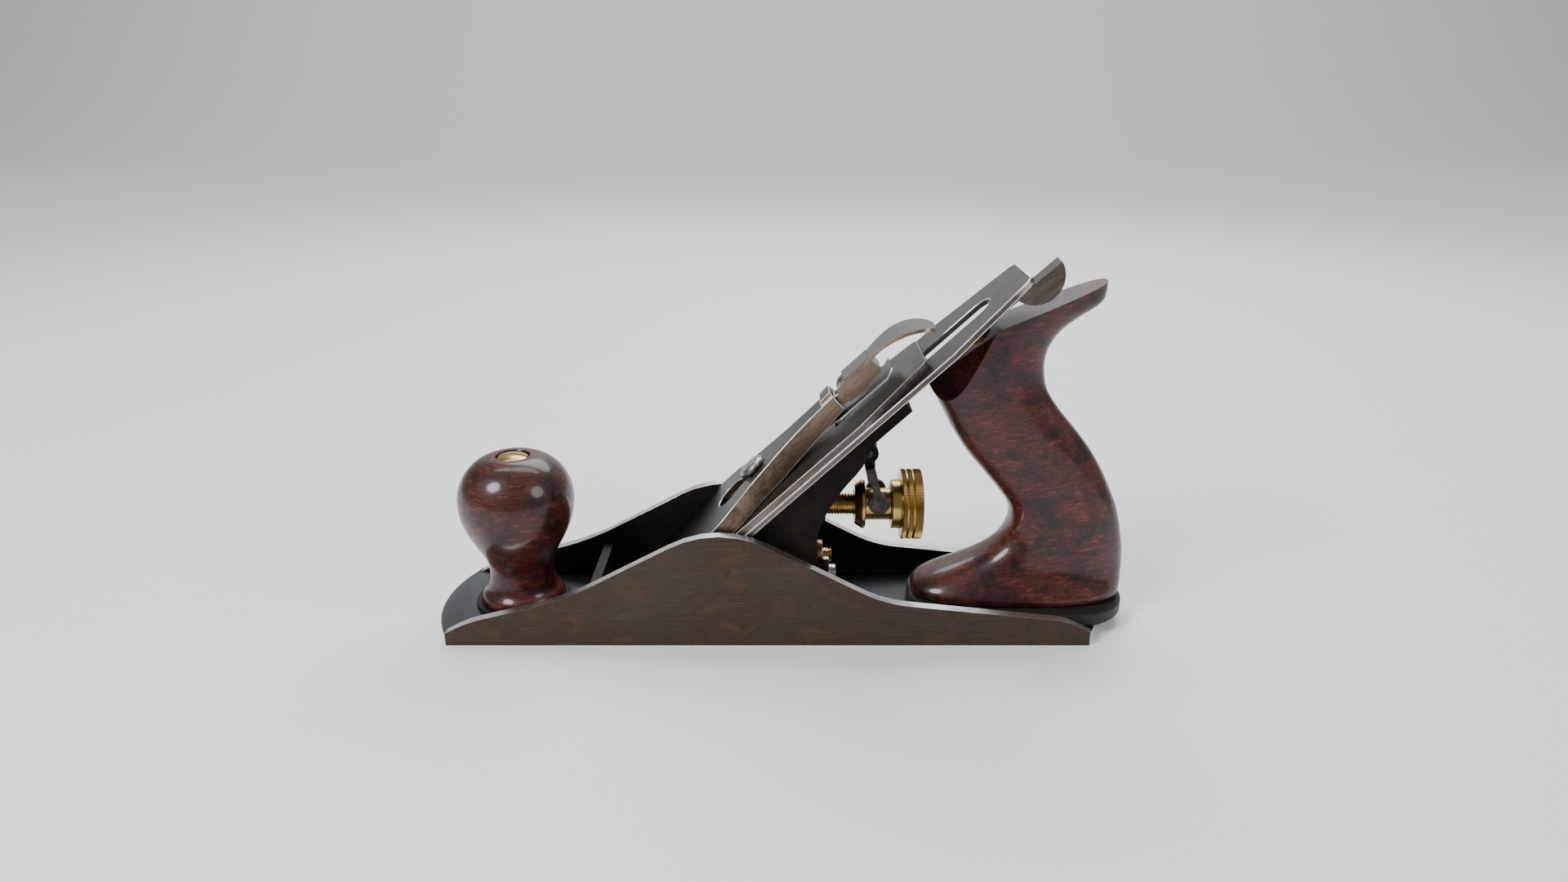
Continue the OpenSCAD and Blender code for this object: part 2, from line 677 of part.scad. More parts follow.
// Arm in plan: round end at the roller, widening eye at the pivot, then leaning to one side.
lateral_bend = 5;
module lateral_plan(grow) {
    translate([roller_s, 0]) circle(r = 5 + grow);
    translate([lateral_s, 0]) circle(r = 5.4 + grow);
    translate([roller_s, -5 - grow]) square([lateral_s - roller_s, 10 + 2 * grow]);
    translate([lateral_s, 0])
        rotate([0, 0, -lateral_bend])
            polygon([[0, -5.2 - grow], [56, -3.2 - grow], [62, -3.2 - grow], [72.6, -4.4 - grow],
                [72.6, 3.6 + grow], [62, 3.2 + grow], [0, 5.2 + grow]]);
}

// The recess leaves the arm free to swing either way.
module lateral_recess() {
    for (a = [-7, 0, 7])
        translate([lateral_s, 0])
            rotate([0, 0, a])
                translate([-lateral_s, 0])
                    lateral_plan(0.5);
}

module lateral_lever() {
    color(dark_iron)
    on_bed()
        difference() {
            union() {
                translate([0, 0, -2.9]) linear_extrude(height = 1.4) lateral_plan(0);
                // half-round thumb tab bent down along the near edge
                translate([lateral_s, 0, -1.5])
                    rotate([0, 0, -lateral_bend])
                        intersection() {
                            translate([63.4, 0, 1.6]) rod_y(9.6, -4.4, -3);
                            translate([40, -10, -20]) cube([60, 20, 20]);
                        }
            }
            translate([lateral_s, 0, 0]) rod_z(1.6 + run_c, -5, 1);
            translate([roller_s, 0, 0]) rod_z(1.5 + eps, -5, 1);
        }
}

module lateral_lever_rivet() {
    color(steel)
    on_bed() translate([lateral_s, 0, 0]) {
        rod_z(1.6, -plate_t, -1);
        rod_z(2.8, -1.45, -0.4);
    }
}

module lateral_roller() {
    color(steel)
    on_bed() translate([roller_s, 0, 0])
        difference() {
            rod_z(roller_r, -1.4, iron_n - 0.5);
            rod_z(1.5 + run_c, -2, iron_n);
        }
}

module lateral_roller_rivet() {
    color(steel)
    on_bed() translate([roller_s, 0, 0]) rod_z(1.5, -2.9, iron_n - 0.4);
}

// ---- iron and cap iron ---------------------------------------------------

module iron_outline() {
    w = iron_w / 2;
    top = edge_s + iron_len;
    polygon([[edge_s, -w], [top - 35, -w], [top - 23.4, -w + 2.9], [top - 13.6, -w + 4.9],
        [top - 2, -w + 7.6], [top, -w + 9.4], [top, w - 9.4], [top - 2, w - 7.6],
        [top - 13.6, w - 4.9], [top - 23.4, w - 2.9], [top - 35, w], [edge_s, w]]);
}

module cutting_iron() {
    color(steel)
    on_bed()
        difference() {
            linear_extrude(height = iron_t) iron_outline();
            // bevel ground on the underside
            upright([[edge_s - 1, -1], [edge_s + iron_t / tan(25), 0], [edge_s, iron_t],
                [edge_s - 1, iron_t + 1]], -40, 40);
            upright([[edge_s - 2, -3], [edge_s + iron_t / tan(25) + 0.01, -3],
                [edge_s + iron_t / tan(25), 0], [edge_s - 1, 0]], -40, 40);
            slot_z(slot_w / 2, 46, 170.4 - slot_w / 2, -1, iron_t + 1);
            translate([46, 0, 0]) rod_z(9.2, -1, iron_t + 1);
        }
}

cap_top_s = 141.6;
hump_s = 12;
module cap_iron() {
    low = bezier([cap_edge_s, iron_n], [cap_edge_s + 3.5, iron_n + 2.6], [hump_s + 6, iron_n + 2.4],
        [26, iron_n], 10);
    high = bezier([26, cap_n], [hump_s + 7, cap_n + 2], [hump_s - 2, cap_n + 2.4],
        [cap_edge_s + 0.5, iron_n + 0.5], 10);
    w = iron_w / 2;
    color(steel)
    on_bed()
        difference() {
            intersection() {
                upright(concat(low, [[cap_top_s, iron_n], [cap_top_s, cap_n]], high), -w, w);
                linear_extrude(height = 20)
                    polygon([[cap_edge_s - 1, -w], [112, -w], [cap_top_s - 1.5, -w + 7],
                        [cap_top_s, -w + 8.6], [cap_top_s, w - 8.6], [cap_top_s - 1.5, w - 7],
                        [112, w], [cap_edge_s - 1, w]]);
            }
            slot_z(lever_screw_r + 1, lever_screw_s - 3, lever_screw_s + 3, 0, 12);
            translate([yoke_s - 2.6, -yoke_w / 2 - gap, 0]) cube([4.6, yoke_w + 2 * gap, 12]);
            translate([cap_screw_s, 0, 0]) rod_z(3.2 + eps, 0, 12);
        }
}

module cap_iron_screw() {
    color(steel)
    on_bed() translate([cap_screw_s, 0, 0])
        difference() {
            union() {
                rod_z(3.2, -1, cap_n);
                rod_z(7.4, -2.6, -0.02);
            }
            translate([-9, -0.7, -3.4]) cube([18, 1.4, 1.9]);
        }
}

// ---- lever cap -----------------------------------------------------------

lever_w = lever_cap_w / 2;
bar_y = bar_w / 2;
shoulder_s = cam_s - 4.8;
// Half width along the cap, from the nose to the bar.
lever_half = concat([[12, lever_w - 0.6], [14, lever_w], [48, lever_w]],
    bezier([52.5, lever_w - 0.7], [60.5, lever_w - 2.2], [63, lever_w - 5.6],
        [68, lever_w - 7.6], 5),
    bezier([73, lever_w - 9.4], [81, lever_w - 12], [86, bar_y + 1.4], [98, bar_y + 0.3], 6),
    [[106, bar_y], [cam_s + 8, bar_y]]);

function mirror_y(c) = concat(c, [for (i = [len(c) - 1:-1:0]) [c[i][0], -c[i][1]]]);

lever_top = [[12, 8.4], [30, 9.4], [48, 10.5], [60.5, 11.6], [72.9, 12.4], [91.4, 13.5],
    [shoulder_s, 14.3]];
lever_low = [[shoulder_s, 8.1], [89, cap_n + 1.2], [77, cap_n + 0.3], [31, cap_n + 0.3],
    [24.5, cap_n + 2.5], [12, cap_n + 2.5]];

module lever_cap() {
    key_s = lever_screw_s - cap_slide;
    color(steel)
    on_bed()
        difference() {
            union() {
                intersection() {
                    upright(concat(lever_top, lever_low), -30, 30);
                    linear_extrude(height = 30) polygon(mirror_y(lever_half));
                }
                // raised pad in line with the closed cam lever
                upright([[cam_s - 10.4, 13.6], [shoulder_s, 13.6], [shoulder_s, cam_n + 4],
                    [cam_s - 9.6, cam_n + 3.6]], -bar_y + 1, bar_y - 1);
                // tongue for the cam
                upright([[shoulder_s - 2, 8.6], [cam_s, cam_n - 3.1], [cam_s, cam_n + 1.1],
                    [shoulder_s - 2, 13.2]], -tongue_y, tongue_y);
                translate([cam_s, 0, cam_n]) rod_y(3.1, -tongue_y, tongue_y);
            }
            // hollow underside
            intersection() {
                upright([[34, 0], [34, 7.6], [48, 8], [72.9, 9.7], [96, 11], [104, 11.2], [104, 0]],
                    -30, 30);
                linear_extrude(height = 30)
                    polygon(mirror_y([for (p = lever_half) [p[0], max(p[1] - 2.4, 2)]]));
            }
            // keyhole
            translate([key_s, 0, 0]) rod_z(key_r, 0, 30);
            slot_z(lever_screw_r + 0.5, key_s, lever_screw_s + 1, 0, 30);
            translate([cam_s, 0, cam_n]) rod_y(cam_pin_r + eps, -12, 12);
            translate([spring_rivet_s, 0, 0]) rod_z(1.5 + eps, 0, 12.2);
        }
}

module lever_cap_screw() {
    color(steel)
    on_bed() translate([lever_screw_s, 0, 0])
        difference() {
            union() {
                rod_z(lever_screw_r, -9.4, 13.4);
                rotate_extrude() polygon([[0, 12.8], [lever_head_r, 12.8], [lever_head_r, 13.8],
                    [lever_head_r - 1, 14.7], [0, 15]]);
            }
            translate([-8, -0.6, 13.9]) cube([16, 1.2, 3]);
        }
}

module leaf_spring() {
    t = 0.8;
    under = 10.3;
    color(steel)
    on_bed()
        difference() {
            intersection() {
                upright([[spring_rivet_s - 3.5, under - 0.3], [spring_rivet_s + 4, under],
                    [101, 6.95], [127, 6.95], [131, 8.6], [131, 7.8], [127.2, 6.15], [100.8, 6.15],
                    [spring_rivet_s + 3.6, under - t], [spring_rivet_s - 3.5, under - t - 0.3]], -8, 8);
                linear_extrude(height = 30)
                    polygon(mirror_y([[spring_rivet_s - 4, 3.4], [101, 3.4], [106, 7.2], [129.6, 7.2],
                        [131, 6.2]]));
            }
            translate([spring_rivet_s, 0, 0]) rod_z(1.5 + eps, 0, 30);
        }
}

module leaf_spring_rivet() {
    color(steel)
    on_bed() translate([spring_rivet_s, 0, 0]) {
        rod_z(1.5, 9, 12.2);
        rod_z(2.6, 8.4, 9.1);
    }
}

// ---- cam -----------------------------------------------------------------

module cam_lever() {
    mid = bezier([cam_s + 12, cam_n + 3.7], [cam_s + 20, cam_n + 5.4], [cam_s + 31, cam_n + 4.6],
        [cam_s + 37, cam_n - 3.9], 10);
    back = [for (i = [len(mid) - 1:-1:0]) mid[i] - [0.35, 1.25]];
    color(steel)
    on_bed()
        difference() {
            union() {
                // block with two ears round the tongue
                upright([[cam_s + 4, cam_n - 3.6], [cam_s + 13, cam_n - 2.5], [cam_s + 14, cam_n - 1.7],
                    [cam_s + 13.2, cam_n + 4.3], [cam_s + 1.6, cam_n + 4.3], [cam_s + 1.6, cam_n + 3.2],
                    [cam_s + 4, cam_n + 3.2]], -cam_y, cam_y);
                for (s = [-1, 1])
                    translate([0, s > 0 ? tongue_y + gap : -cam_y, 0]) {
                        translate([cam_s, 0, cam_n]) rod_y(3.4, 0, cam_y - tongue_y - gap);
                        upright([[cam_s, cam_n - 3.4], [cam_s + 5, cam_n - 3.5], [cam_s + 5, cam_n + 4],
                            [cam_s, cam_n + 3.4]], 0, cam_y - tongue_y - gap);
                    }
                // paddle
                intersection() {
                    upright(concat(mid, back), -12, 12);
                    linear_extrude(height = 30)
                        polygon(mirror_y([[cam_s + 11, cam_y], [cam_s + 18, 6.6], [cam_s + 25, 8.8],
                            [cam_s + 30, 9.2], [cam_s + 34, 8.4], [cam_s + 36, 6.6], [cam_s + 37.4, 3]]));
                }
            }
            translate([cam_s, 0, cam_n]) rod_y(cam_pin_r + run_c, -12, 12);
        }
}

module cam_pin() {
    color(steel)
    on_bed() translate([cam_s, 0, cam_n]) rod_y(cam_pin_r, -cam_y + 0.2, cam_y - 0.2);
}

// ---- selection -----------------------------------------------------------

body_casting();
front_knob();
knob_rod();
knob_nut();
tote();
tote_plate();
tote_rod();
tote_nut();
frog();
frog_screws();
frog_screw_washers();
frog_adjusting_screw();
frog_clip();
frog_clip_screws();
depth_stud();
depth_wheel();
depth_wheel_bush();
y_lever();
y_lever_pin();
lateral_lever();
lateral_lever_rivet();
lateral_roller();
lateral_roller_rivet();
cutting_iron();
cap_iron();
cap_iron_screw();
lever_cap();
lever_cap_screw();
leaf_spring();
leaf_spring_rivet();
cam_lever();
cam_pin();
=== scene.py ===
"""Hand plane: the finished surfaces of a small iron-bodied smoothing plane.

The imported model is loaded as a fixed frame. Every piece here is made in that frame, in metres:
+X points to the heel, +Y to the left of someone pushing the plane, +Z up, and the origin lies on
the underside of the sole.
"""

import math

import bmesh
import bpy
from mathutils import Matrix, Vector


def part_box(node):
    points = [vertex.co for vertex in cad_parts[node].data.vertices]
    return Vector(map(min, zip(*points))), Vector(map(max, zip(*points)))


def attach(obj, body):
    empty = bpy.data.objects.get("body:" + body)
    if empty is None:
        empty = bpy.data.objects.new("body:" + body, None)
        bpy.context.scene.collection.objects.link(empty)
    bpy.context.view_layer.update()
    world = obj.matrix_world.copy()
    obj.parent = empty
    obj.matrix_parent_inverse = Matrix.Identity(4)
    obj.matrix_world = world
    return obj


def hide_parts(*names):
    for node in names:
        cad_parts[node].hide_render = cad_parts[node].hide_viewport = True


bl_info = {
    "name": "Hand plane",
    "version": (1, 0, 0),
    "blender": (4, 5, 0),
    "location": "View3D > Sidebar > Hand plane",
    "description": "Builds the finished pieces and the stage of a small metal hand plane",
    "category": "Object",
}

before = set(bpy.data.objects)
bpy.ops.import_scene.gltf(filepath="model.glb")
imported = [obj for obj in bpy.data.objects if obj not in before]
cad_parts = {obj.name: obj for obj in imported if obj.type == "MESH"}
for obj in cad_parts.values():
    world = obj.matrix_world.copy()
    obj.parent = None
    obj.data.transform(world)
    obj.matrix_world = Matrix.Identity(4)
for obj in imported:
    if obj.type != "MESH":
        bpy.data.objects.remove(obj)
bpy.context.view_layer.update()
MM = 0.001
BED_ANGLE = math.radians(43)
# Points of a frame mesh closer than this are one point; faces that turn less than this are flat.
JOIN = 2e-6
FLAT = math.radians(0.6)
# A face whose normal leans further than this to the side counts as a part's flank.
FLANK_FACING = 0.7


# ---- sizes and colours a user would change ---------------------------------


class PLANE_PG_wood(bpy.types.PropertyGroup):
    """Knob and rear handle"""

    dark: bpy.props.FloatVectorProperty(
        name="Dark figure", description="Darkest streaks of the wood", subtype="COLOR",
        size=3, min=0, max=1, default=(0.011, 0.0040, 0.0042))
    body: bpy.props.FloatVectorProperty(
        name="Body colour", description="Main reddish brown of the wood", subtype="COLOR",
        size=3, min=0, max=1, default=(0.066, 0.0135, 0.0100))
    light: bpy.props.FloatVectorProperty(
        name="Light figure", description="Lightest streaks of the wood", subtype="COLOR",
        size=3, min=0, max=1, default=(0.165, 0.040, 0.026))
    arris: bpy.props.FloatProperty(
        name="Handle edge", description="Rounding of the sharp edges round the handle's flat top",
        unit="LENGTH", min=0.0002, max=0.002, default=0.0007)


class PLANE_PG_metal(bpy.types.PropertyGroup):
    """Iron, steel and brass"""

    steel: bpy.props.FloatVectorProperty(
        name="Steel", description="Brushed grey of the iron and the lever cap", subtype="COLOR",
        size=3, min=0, max=1, default=(0.150, 0.140, 0.128))
    rust: bpy.props.FloatVectorProperty(
        name="Patina", description="Brown patina on the cheeks", subtype="COLOR",
        size=3, min=0, max=1, default=(0.042, 0.0215, 0.0125))
    flank: bpy.props.FloatVectorProperty(
        name="Flank", subtype="COLOR",
        description="Coppery brown of the steel parts' narrow sides",
        size=3, min=0, max=1, default=(0.26, 0.182, 0.138))
    bright: bpy.props.FloatVectorProperty(
        name="Bright edge", subtype="COLOR",
        description="Thin worn edges of the iron and steel parts",
        size=3, min=0, max=1, default=(0.92, 0.90, 0.87))
    brass: bpy.props.FloatVectorProperty(
        name="Brass", description="Aged golden brass", subtype="COLOR",
        size=3, min=0, max=1, default=(0.56, 0.37, 0.125))
    casting_edge: bpy.props.FloatProperty(
        name="Casting edge", description="Rounding of the casting's edges", unit="LENGTH",
        min=0.0001, max=0.002, default=0.0006)
    fine_edge: bpy.props.FloatProperty(
        name="Fine edge", description="Rounding of the edges of screws and levers", unit="LENGTH",
        min=0.00005, max=0.001, default=0.00025)


class PLANE_PG_stage(bpy.types.PropertyGroup):
    """Floor, camera and lights"""

    floor: bpy.props.FloatVectorProperty(
        name="Floor", description="Colour of the floor", subtype="COLOR",
        size=3, min=0, max=1, default=(0.86, 0.86, 0.86))
    lens: bpy.props.FloatProperty(
        name="Lens", description="Focal length of the camera", unit="CAMERA",
        min=10, max=200, default=24.44)
    distance: bpy.props.FloatProperty(
        name="Camera distance",
        description="Distance of the camera in front of the plane's centre line",
        unit="LENGTH", min=0.2, max=3, default=0.3578)


# ---- material nodes --------------------------------------------------------


class Finish:
    """One procedural material on Object coordinates, built up node by node."""

    def __init__(self, name):
        self.material = bpy.data.materials.new(name)
        self.material.use_nodes = True
        self.tree = self.material.node_tree
        self.shader = self.tree.nodes["Principled BSDF"]
        self.object_coords = self.tree.nodes.new("ShaderNodeTexCoord").outputs["Object"]

    def set(self, **values):
        """Sets constant values on the shader's own sockets."""
        for name, value in values.items():
            self.shader.inputs[name.replace("_", " ")].default_value = value

    def wire(self, value, socket):
        """Links a socket, or sets a number or a colour, whose alpha is filled in."""
        if isinstance(value, bpy.types.NodeSocket):
            self.tree.links.new(value, socket)
        elif hasattr(value, "__len__") and len(value) == 3 and len(socket.default_value) == 4:
            socket.default_value = (*value, 1)
        else:
            socket.default_value = value

    def coords(self, stretch=(1, 1, 1), turn=(0, 0, 0), shift=(0, 0, 0)):
        """Object coordinates in millimetres, turned and then stretched."""
        first = self.tree.nodes.new("ShaderNodeMapping")
        first.vector_type = "TEXTURE"
        first.inputs["Rotation"].default_value = turn
        first.inputs["Location"].default_value = shift
        self.wire(self.object_coords, first.inputs["Vector"])
        second = self.tree.nodes.new("ShaderNodeMapping")
        second.inputs["Scale"].default_value = [1000 * s for s in stretch]
        self.wire(first.outputs["Vector"], second.inputs["Vector"])
        return second.outputs["Vector"]

    def noise(self, vector, scale=1.0, detail=4.0, rough=0.55, distort=0.0):
        node = self.tree.nodes.new("ShaderNodeTexNoise")
        self.wire(vector, node.inputs["Vector"])
        settings = {"Scale": scale, "Detail": detail, "Roughness": rough, "Distortion": distort}
        for key, value in settings.items():
            node.inputs[key].default_value = value
        return node.outputs["Fac"]

    def voronoi(self, vector, scale=1.0):
        node = self.tree.nodes.new("ShaderNodeTexVoronoi")
        self.wire(vector, node.inputs["Vector"])
        node.inputs["Scale"].default_value = scale
        return node.outputs["Distance"]

    def ramp(self, fac, *stops):
        """Colour ramp with (position, value or colour) stops."""
        node = self.tree.nodes.new("ShaderNodeValToRGB")
        self.wire(fac, node.inputs["Fac"])
        elements = node.color_ramp.elements
        while len(elements) < len(stops):
            elements.new(0.5)
        for element, (position, value) in zip(elements, stops):
            element.position = position
            grey = isinstance(value, (int, float))
            element.color = (value, value, value, 1) if grey else (*value, 1)
        return node.outputs["Color"]

    def mix(self, fac, a, b, blend="MIX"):
        node = self.tree.nodes.new("ShaderNodeMix")
        node.data_type = "RGBA"
        node.blend_type = blend
        self.wire(fac, node.inputs["Factor"])
        self.wire(a, node.inputs["A"])
        self.wire(b, node.inputs["B"])
        return node.outputs["Result"]

    def maths(self, operation, a, b):
        node = self.tree.nodes.new("ShaderNodeMath")
        node.operation = operation
        for socket, value in zip(node.inputs, (a, b)):
            self.wire(value, socket)
        return node.outputs["Value"]

    def times(self, a, b):
        return self.maths("MULTIPLY", a, b)

    def spread(self, value, low, high):
        """Maps 0..1 to low..high."""
        node = self.tree.nodes.new("ShaderNodeMapRange")
        self.wire(value, node.inputs["Value"])
        node.inputs["To Min"].default_value = low
        node.inputs["To Max"].default_value = high
        return node.outputs["Result"]

    def relief(self, height, depth, strength):
        """Bump of the given depth in millimetres, laid over what is already wired."""
        node = self.tree.nodes.new("ShaderNodeBump")
        node.inputs["Strength"].default_value = strength
        node.inputs["Distance"].default_value = depth * MM
        self.wire(height, node.inputs["Height"])
        socket = self.shader.inputs["Normal"]
        if socket.is_linked:
            self.tree.links.new(socket.links[0].from_socket, node.inputs["Normal"])
        self.wire(node.outputs["Normal"], socket)

    def colour(self, value):
        self.wire(value, self.shader.inputs["Base Color"])

    def roughness(self, value):
        self.wire(value, self.shader.inputs["Roughness"])

    def metal(self, value):
        self.wire(value, self.shader.inputs["Metallic"])


def scaled(colour, factor):
    """The colour made lighter or darker."""
    return tuple(min(1.0, c * factor) for c in colour)


def varnished_wood(name, grain_stretch, turn=(0, 0, 0)):
    """Dark purple-red wood: fine dark pores along the grain, mottled patches, glossy varnish."""
    wood = bpy.context.scene.plane_wood
    f = Finish(name)
    along = f.coords(grain_stretch, turn)
    streaks = f.noise(along, 0.9, 7, 0.66, 0.35)
    pores = f.noise(along, 3.6, 3, 0.6)
    figure = f.ramp(streaks, (0.36, scaled(wood.body, 0.62)), (0.52, tuple(wood.body)),
                    (0.68, tuple(wood.light)))
    mottle = f.noise(f.coords((0.8, 0.8, 1)), 0.12, 8, 0.68, 0.4)
    figure = f.mix(f.ramp(mottle, (0.40, 0.92), (0.54, 0.0)), figure, tuple(wood.dark))
    figure = f.mix(f.ramp(pores, (0.38, 0.6), (0.50, 0.0)), figure, tuple(wood.dark))
    rubbed = f.ramp(f.noise(f.coords(shift=(0.02, 0, 0)), 0.2, 8, 0.75),
                    (0.64, 0.0), (0.74, 1.0))
    figure = f.mix(f.times(rubbed, 0.3), figure, scaled(wood.light, 1.6))
    f.colour(figure)
    f.roughness(f.spread(f.noise(f.coords(), 0.3, 4), 0.30, 0.52))
    f.set(Coat_Weight=0.45, Coat_Roughness=0.12, Specular_IOR_Level=0.25)
    f.relief(pores, 0.05, 0.35)
    f.relief(f.noise(f.coords(), 0.09, 2), 0.5, 0.2)
    return f.material


def japanned_iron(name, base=(0.008, 0.0066, 0.0058), speckle=0.4, gloss=0.3, sheen=0.2):
    """Black enamel over rough cast iron, with small pale specks of dust and chipping."""
    f = Finish(name)
    grit = f.noise(f.coords(), 1.3, 5, 0.7)
    specks = f.ramp(f.voronoi(f.coords(), 0.55), (0.0, 1.0), (0.11, 0.0))
    gathered = f.ramp(f.noise(f.coords(), 0.16, 3), (0.50, 0.0), (0.62, 1.0))
    specks = f.mix(1.0, specks, gathered, "MULTIPLY")
    dusty = f.ramp(f.noise(f.coords(), 0.07, 5, 0.65), (0.42, 0.0), (0.72, 1.0))
    colour = f.mix(f.times(dusty, 0.35), base, (0.034, 0.026, 0.021))
    colour = f.mix(f.times(specks, speckle), colour, (0.30, 0.28, 0.26))
    f.colour(colour)
    f.roughness(f.spread(grit, gloss + 0.08, gloss + 0.38))
    f.relief(grit, 0.12, 0.5)
    f.relief(f.noise(f.coords(), 0.25, 2), 0.5, 0.3)
    f.set(Specular_IOR_Level=sheen)
    return f.material


def worn_cheek(name):
    """Outside of a cheek: brushed iron under brown patina and grey rubbed patches."""
    metal = bpy.context.scene.plane_metal
    f = Finish(name)
    lines = f.noise(f.coords((0.05, 1, 2.2)), 1.6, 5, 0.65)
    cloud = f.noise(f.coords((0.6, 1, 1)), 0.06, 7, 0.62, 0.35)
    fine = f.noise(f.coords((0.7, 1, 1)), 0.5, 6, 0.7)
    brown = f.mix(fine, scaled(metal.rust, 0.62), scaled(metal.rust, 1.45))
    grey = f.mix(lines, (0.026, 0.0195, 0.0155), (0.084, 0.065, 0.053))
    bare = f.ramp(f.maths("ADD", f.times(cloud, 0.75), f.times(fine, 0.25)),
                  (0.45, 0.0), (0.57, 0.9))
    colour = f.mix(bare, brown, grey)
    bloom = f.ramp(f.noise(f.coords((0.8, 1, 1), shift=(0.3, 0, 0)), 0.11, 9, 0.68),
                   (0.53, 0.0), (0.60, 1.0))
    colour = f.mix(f.times(bloom, 0.42), colour, scaled(metal.rust, 2.1))
    scratches = f.ramp(f.noise(f.coords((0.03, 1, 2.6)), 2.2, 2, 0.5),
                       (0.66, 0.0), (0.70, 1.0))
    colour = f.mix(f.times(scratches, 0.3), colour, (0.19, 0.160, 0.140))
    pits = f.ramp(f.noise(f.coords(), 0.75, 5, 0.7), (0.32, 1.0), (0.39, 0.0))
    colour = f.mix(f.times(pits, 0.7), colour, (0.025, 0.018, 0.014))
    f.colour(colour)
    f.metal(f.spread(bare, 0.35, 0.8))
    f.roughness(f.mix(bare, f.spread(fine, 0.5, 0.7), f.spread(lines, 0.30, 0.46)))
    f.relief(lines, 0.03, 0.45)
    f.relief(pits, -0.08, 0.5)
    return f.material


def rubbed_edge(name, base, dirt):
    """Bright worn metal along handled edges."""
    f = Finish(name)
    lines = f.noise(f.coords((0.12, 1, 1)), 1.8, 5, 0.65)
    stains = f.ramp(f.noise(f.coords(), 0.14, 5, 0.65), (0.46, 0.0), (0.66, 1.0))
    colour = f.mix(lines, scaled(base, 0.72), scaled(base, 1.15))
    colour = f.mix(f.times(stains, dirt), colour, (0.12, 0.085, 0.06))
    f.colour(colour)
    f.metal(1.0)
    f.roughness(f.spread(lines, 0.24, 0.42))
    f.relief(lines, 0.03, 0.3)
    return f.material


def brushed_steel(name, base, stain, low=0.24, high=0.42, stretch=(0.035, 0.55, 0.45)):
    """Steel ground along the bed: streaks, brown stains and a few dark spots."""
    f = Finish(name)
    turn = (0, -BED_ANGLE, 0)
    brush = f.noise(f.coords(stretch, turn), 2.0, 7, 0.72)
    broad = f.noise(f.coords((0.25, 1, 1), turn), 0.16, 5, 0.6, 0.3)
    spots = f.ramp(f.noise(f.coords(), 0.5, 6, 0.72), (0.60, 0.0), (0.68, 1.0))
    streaks = f.ramp(brush, (0.34, 0.0), (0.66, 1.0))
    colour = f.mix(streaks, scaled(base, 0.60), scaled(base, 1.38))
    stained = f.ramp(broad, (0.45, 0.0), (0.70, 1.0))
    colour = f.mix(f.times(stained, stain), colour, scaled((0.62, 0.42, 0.30), max(base)))
    colour = f.mix(f.times(spots, stain * 0.8), colour, scaled((0.30, 0.20, 0.15), max(base)))
    f.colour(colour)
    f.metal(f.spread(spots, 1.0, 0.7))
    f.roughness(f.spread(brush, low, high))
    f.relief(brush, 0.03, 0.4)
    return f.material


def aged_brass(name, dull=0.4, low=0.24, high=0.40):
    """Golden brass gone brown in patches, bright where it is handled."""
    metal = bpy.context.scene.plane_metal
    f = Finish(name)
    patches = f.ramp(f.noise(f.coords(), 0.22, 5, 0.6, 0.3), (0.44, 0.0), (0.66, 1.0))
    lines = f.noise(f.coords(), 1.6, 4, 0.6)
    colour = f.mix(lines, scaled(metal.brass, 0.84), scaled(metal.brass, 1.12))
    colour = f.mix(f.times(patches, dull), colour, scaled(metal.brass, 0.5))
    f.colour(colour)
    f.metal(1.0)
    f.roughness(f.spread(patches, low, high))
    f.relief(lines, 0.02, 0.25)
    return f.material


def dark_iron(name):
    """Bare iron gone dark brown, with lighter rubbed patches."""
    base = (0.030, 0.025, 0.022)
    f = Finish(name)
    cloud = f.noise(f.coords(), 0.35, 6, 0.65)
    colour = f.mix(f.ramp(cloud, (0.42, 0.0), (0.68, 1.0)), base, scaled(base, 2.6))
    f.colour(colour)
    f.metal(0.85)
    f.roughness(f.spread(cloud, 0.52, 0.34))
    f.relief(f.noise(f.coords(), 1.2, 4), 0.06, 0.5)
    return f.material


def floor_paint(name):
    """Plain pale paint, very slightly uneven."""
    floor = bpy.context.scene.plane_stage.floor
    f = Finish(name)
    f.colour(f.mix(f.noise(f.coords(), 0.02, 3), scaled(floor, 0.985), scaled(floor, 1.01)))
    f.roughness(f.spread(f.noise(f.coords(), 0.4, 3), 0.5, 0.6))
    return f.material


FINISHES = {}


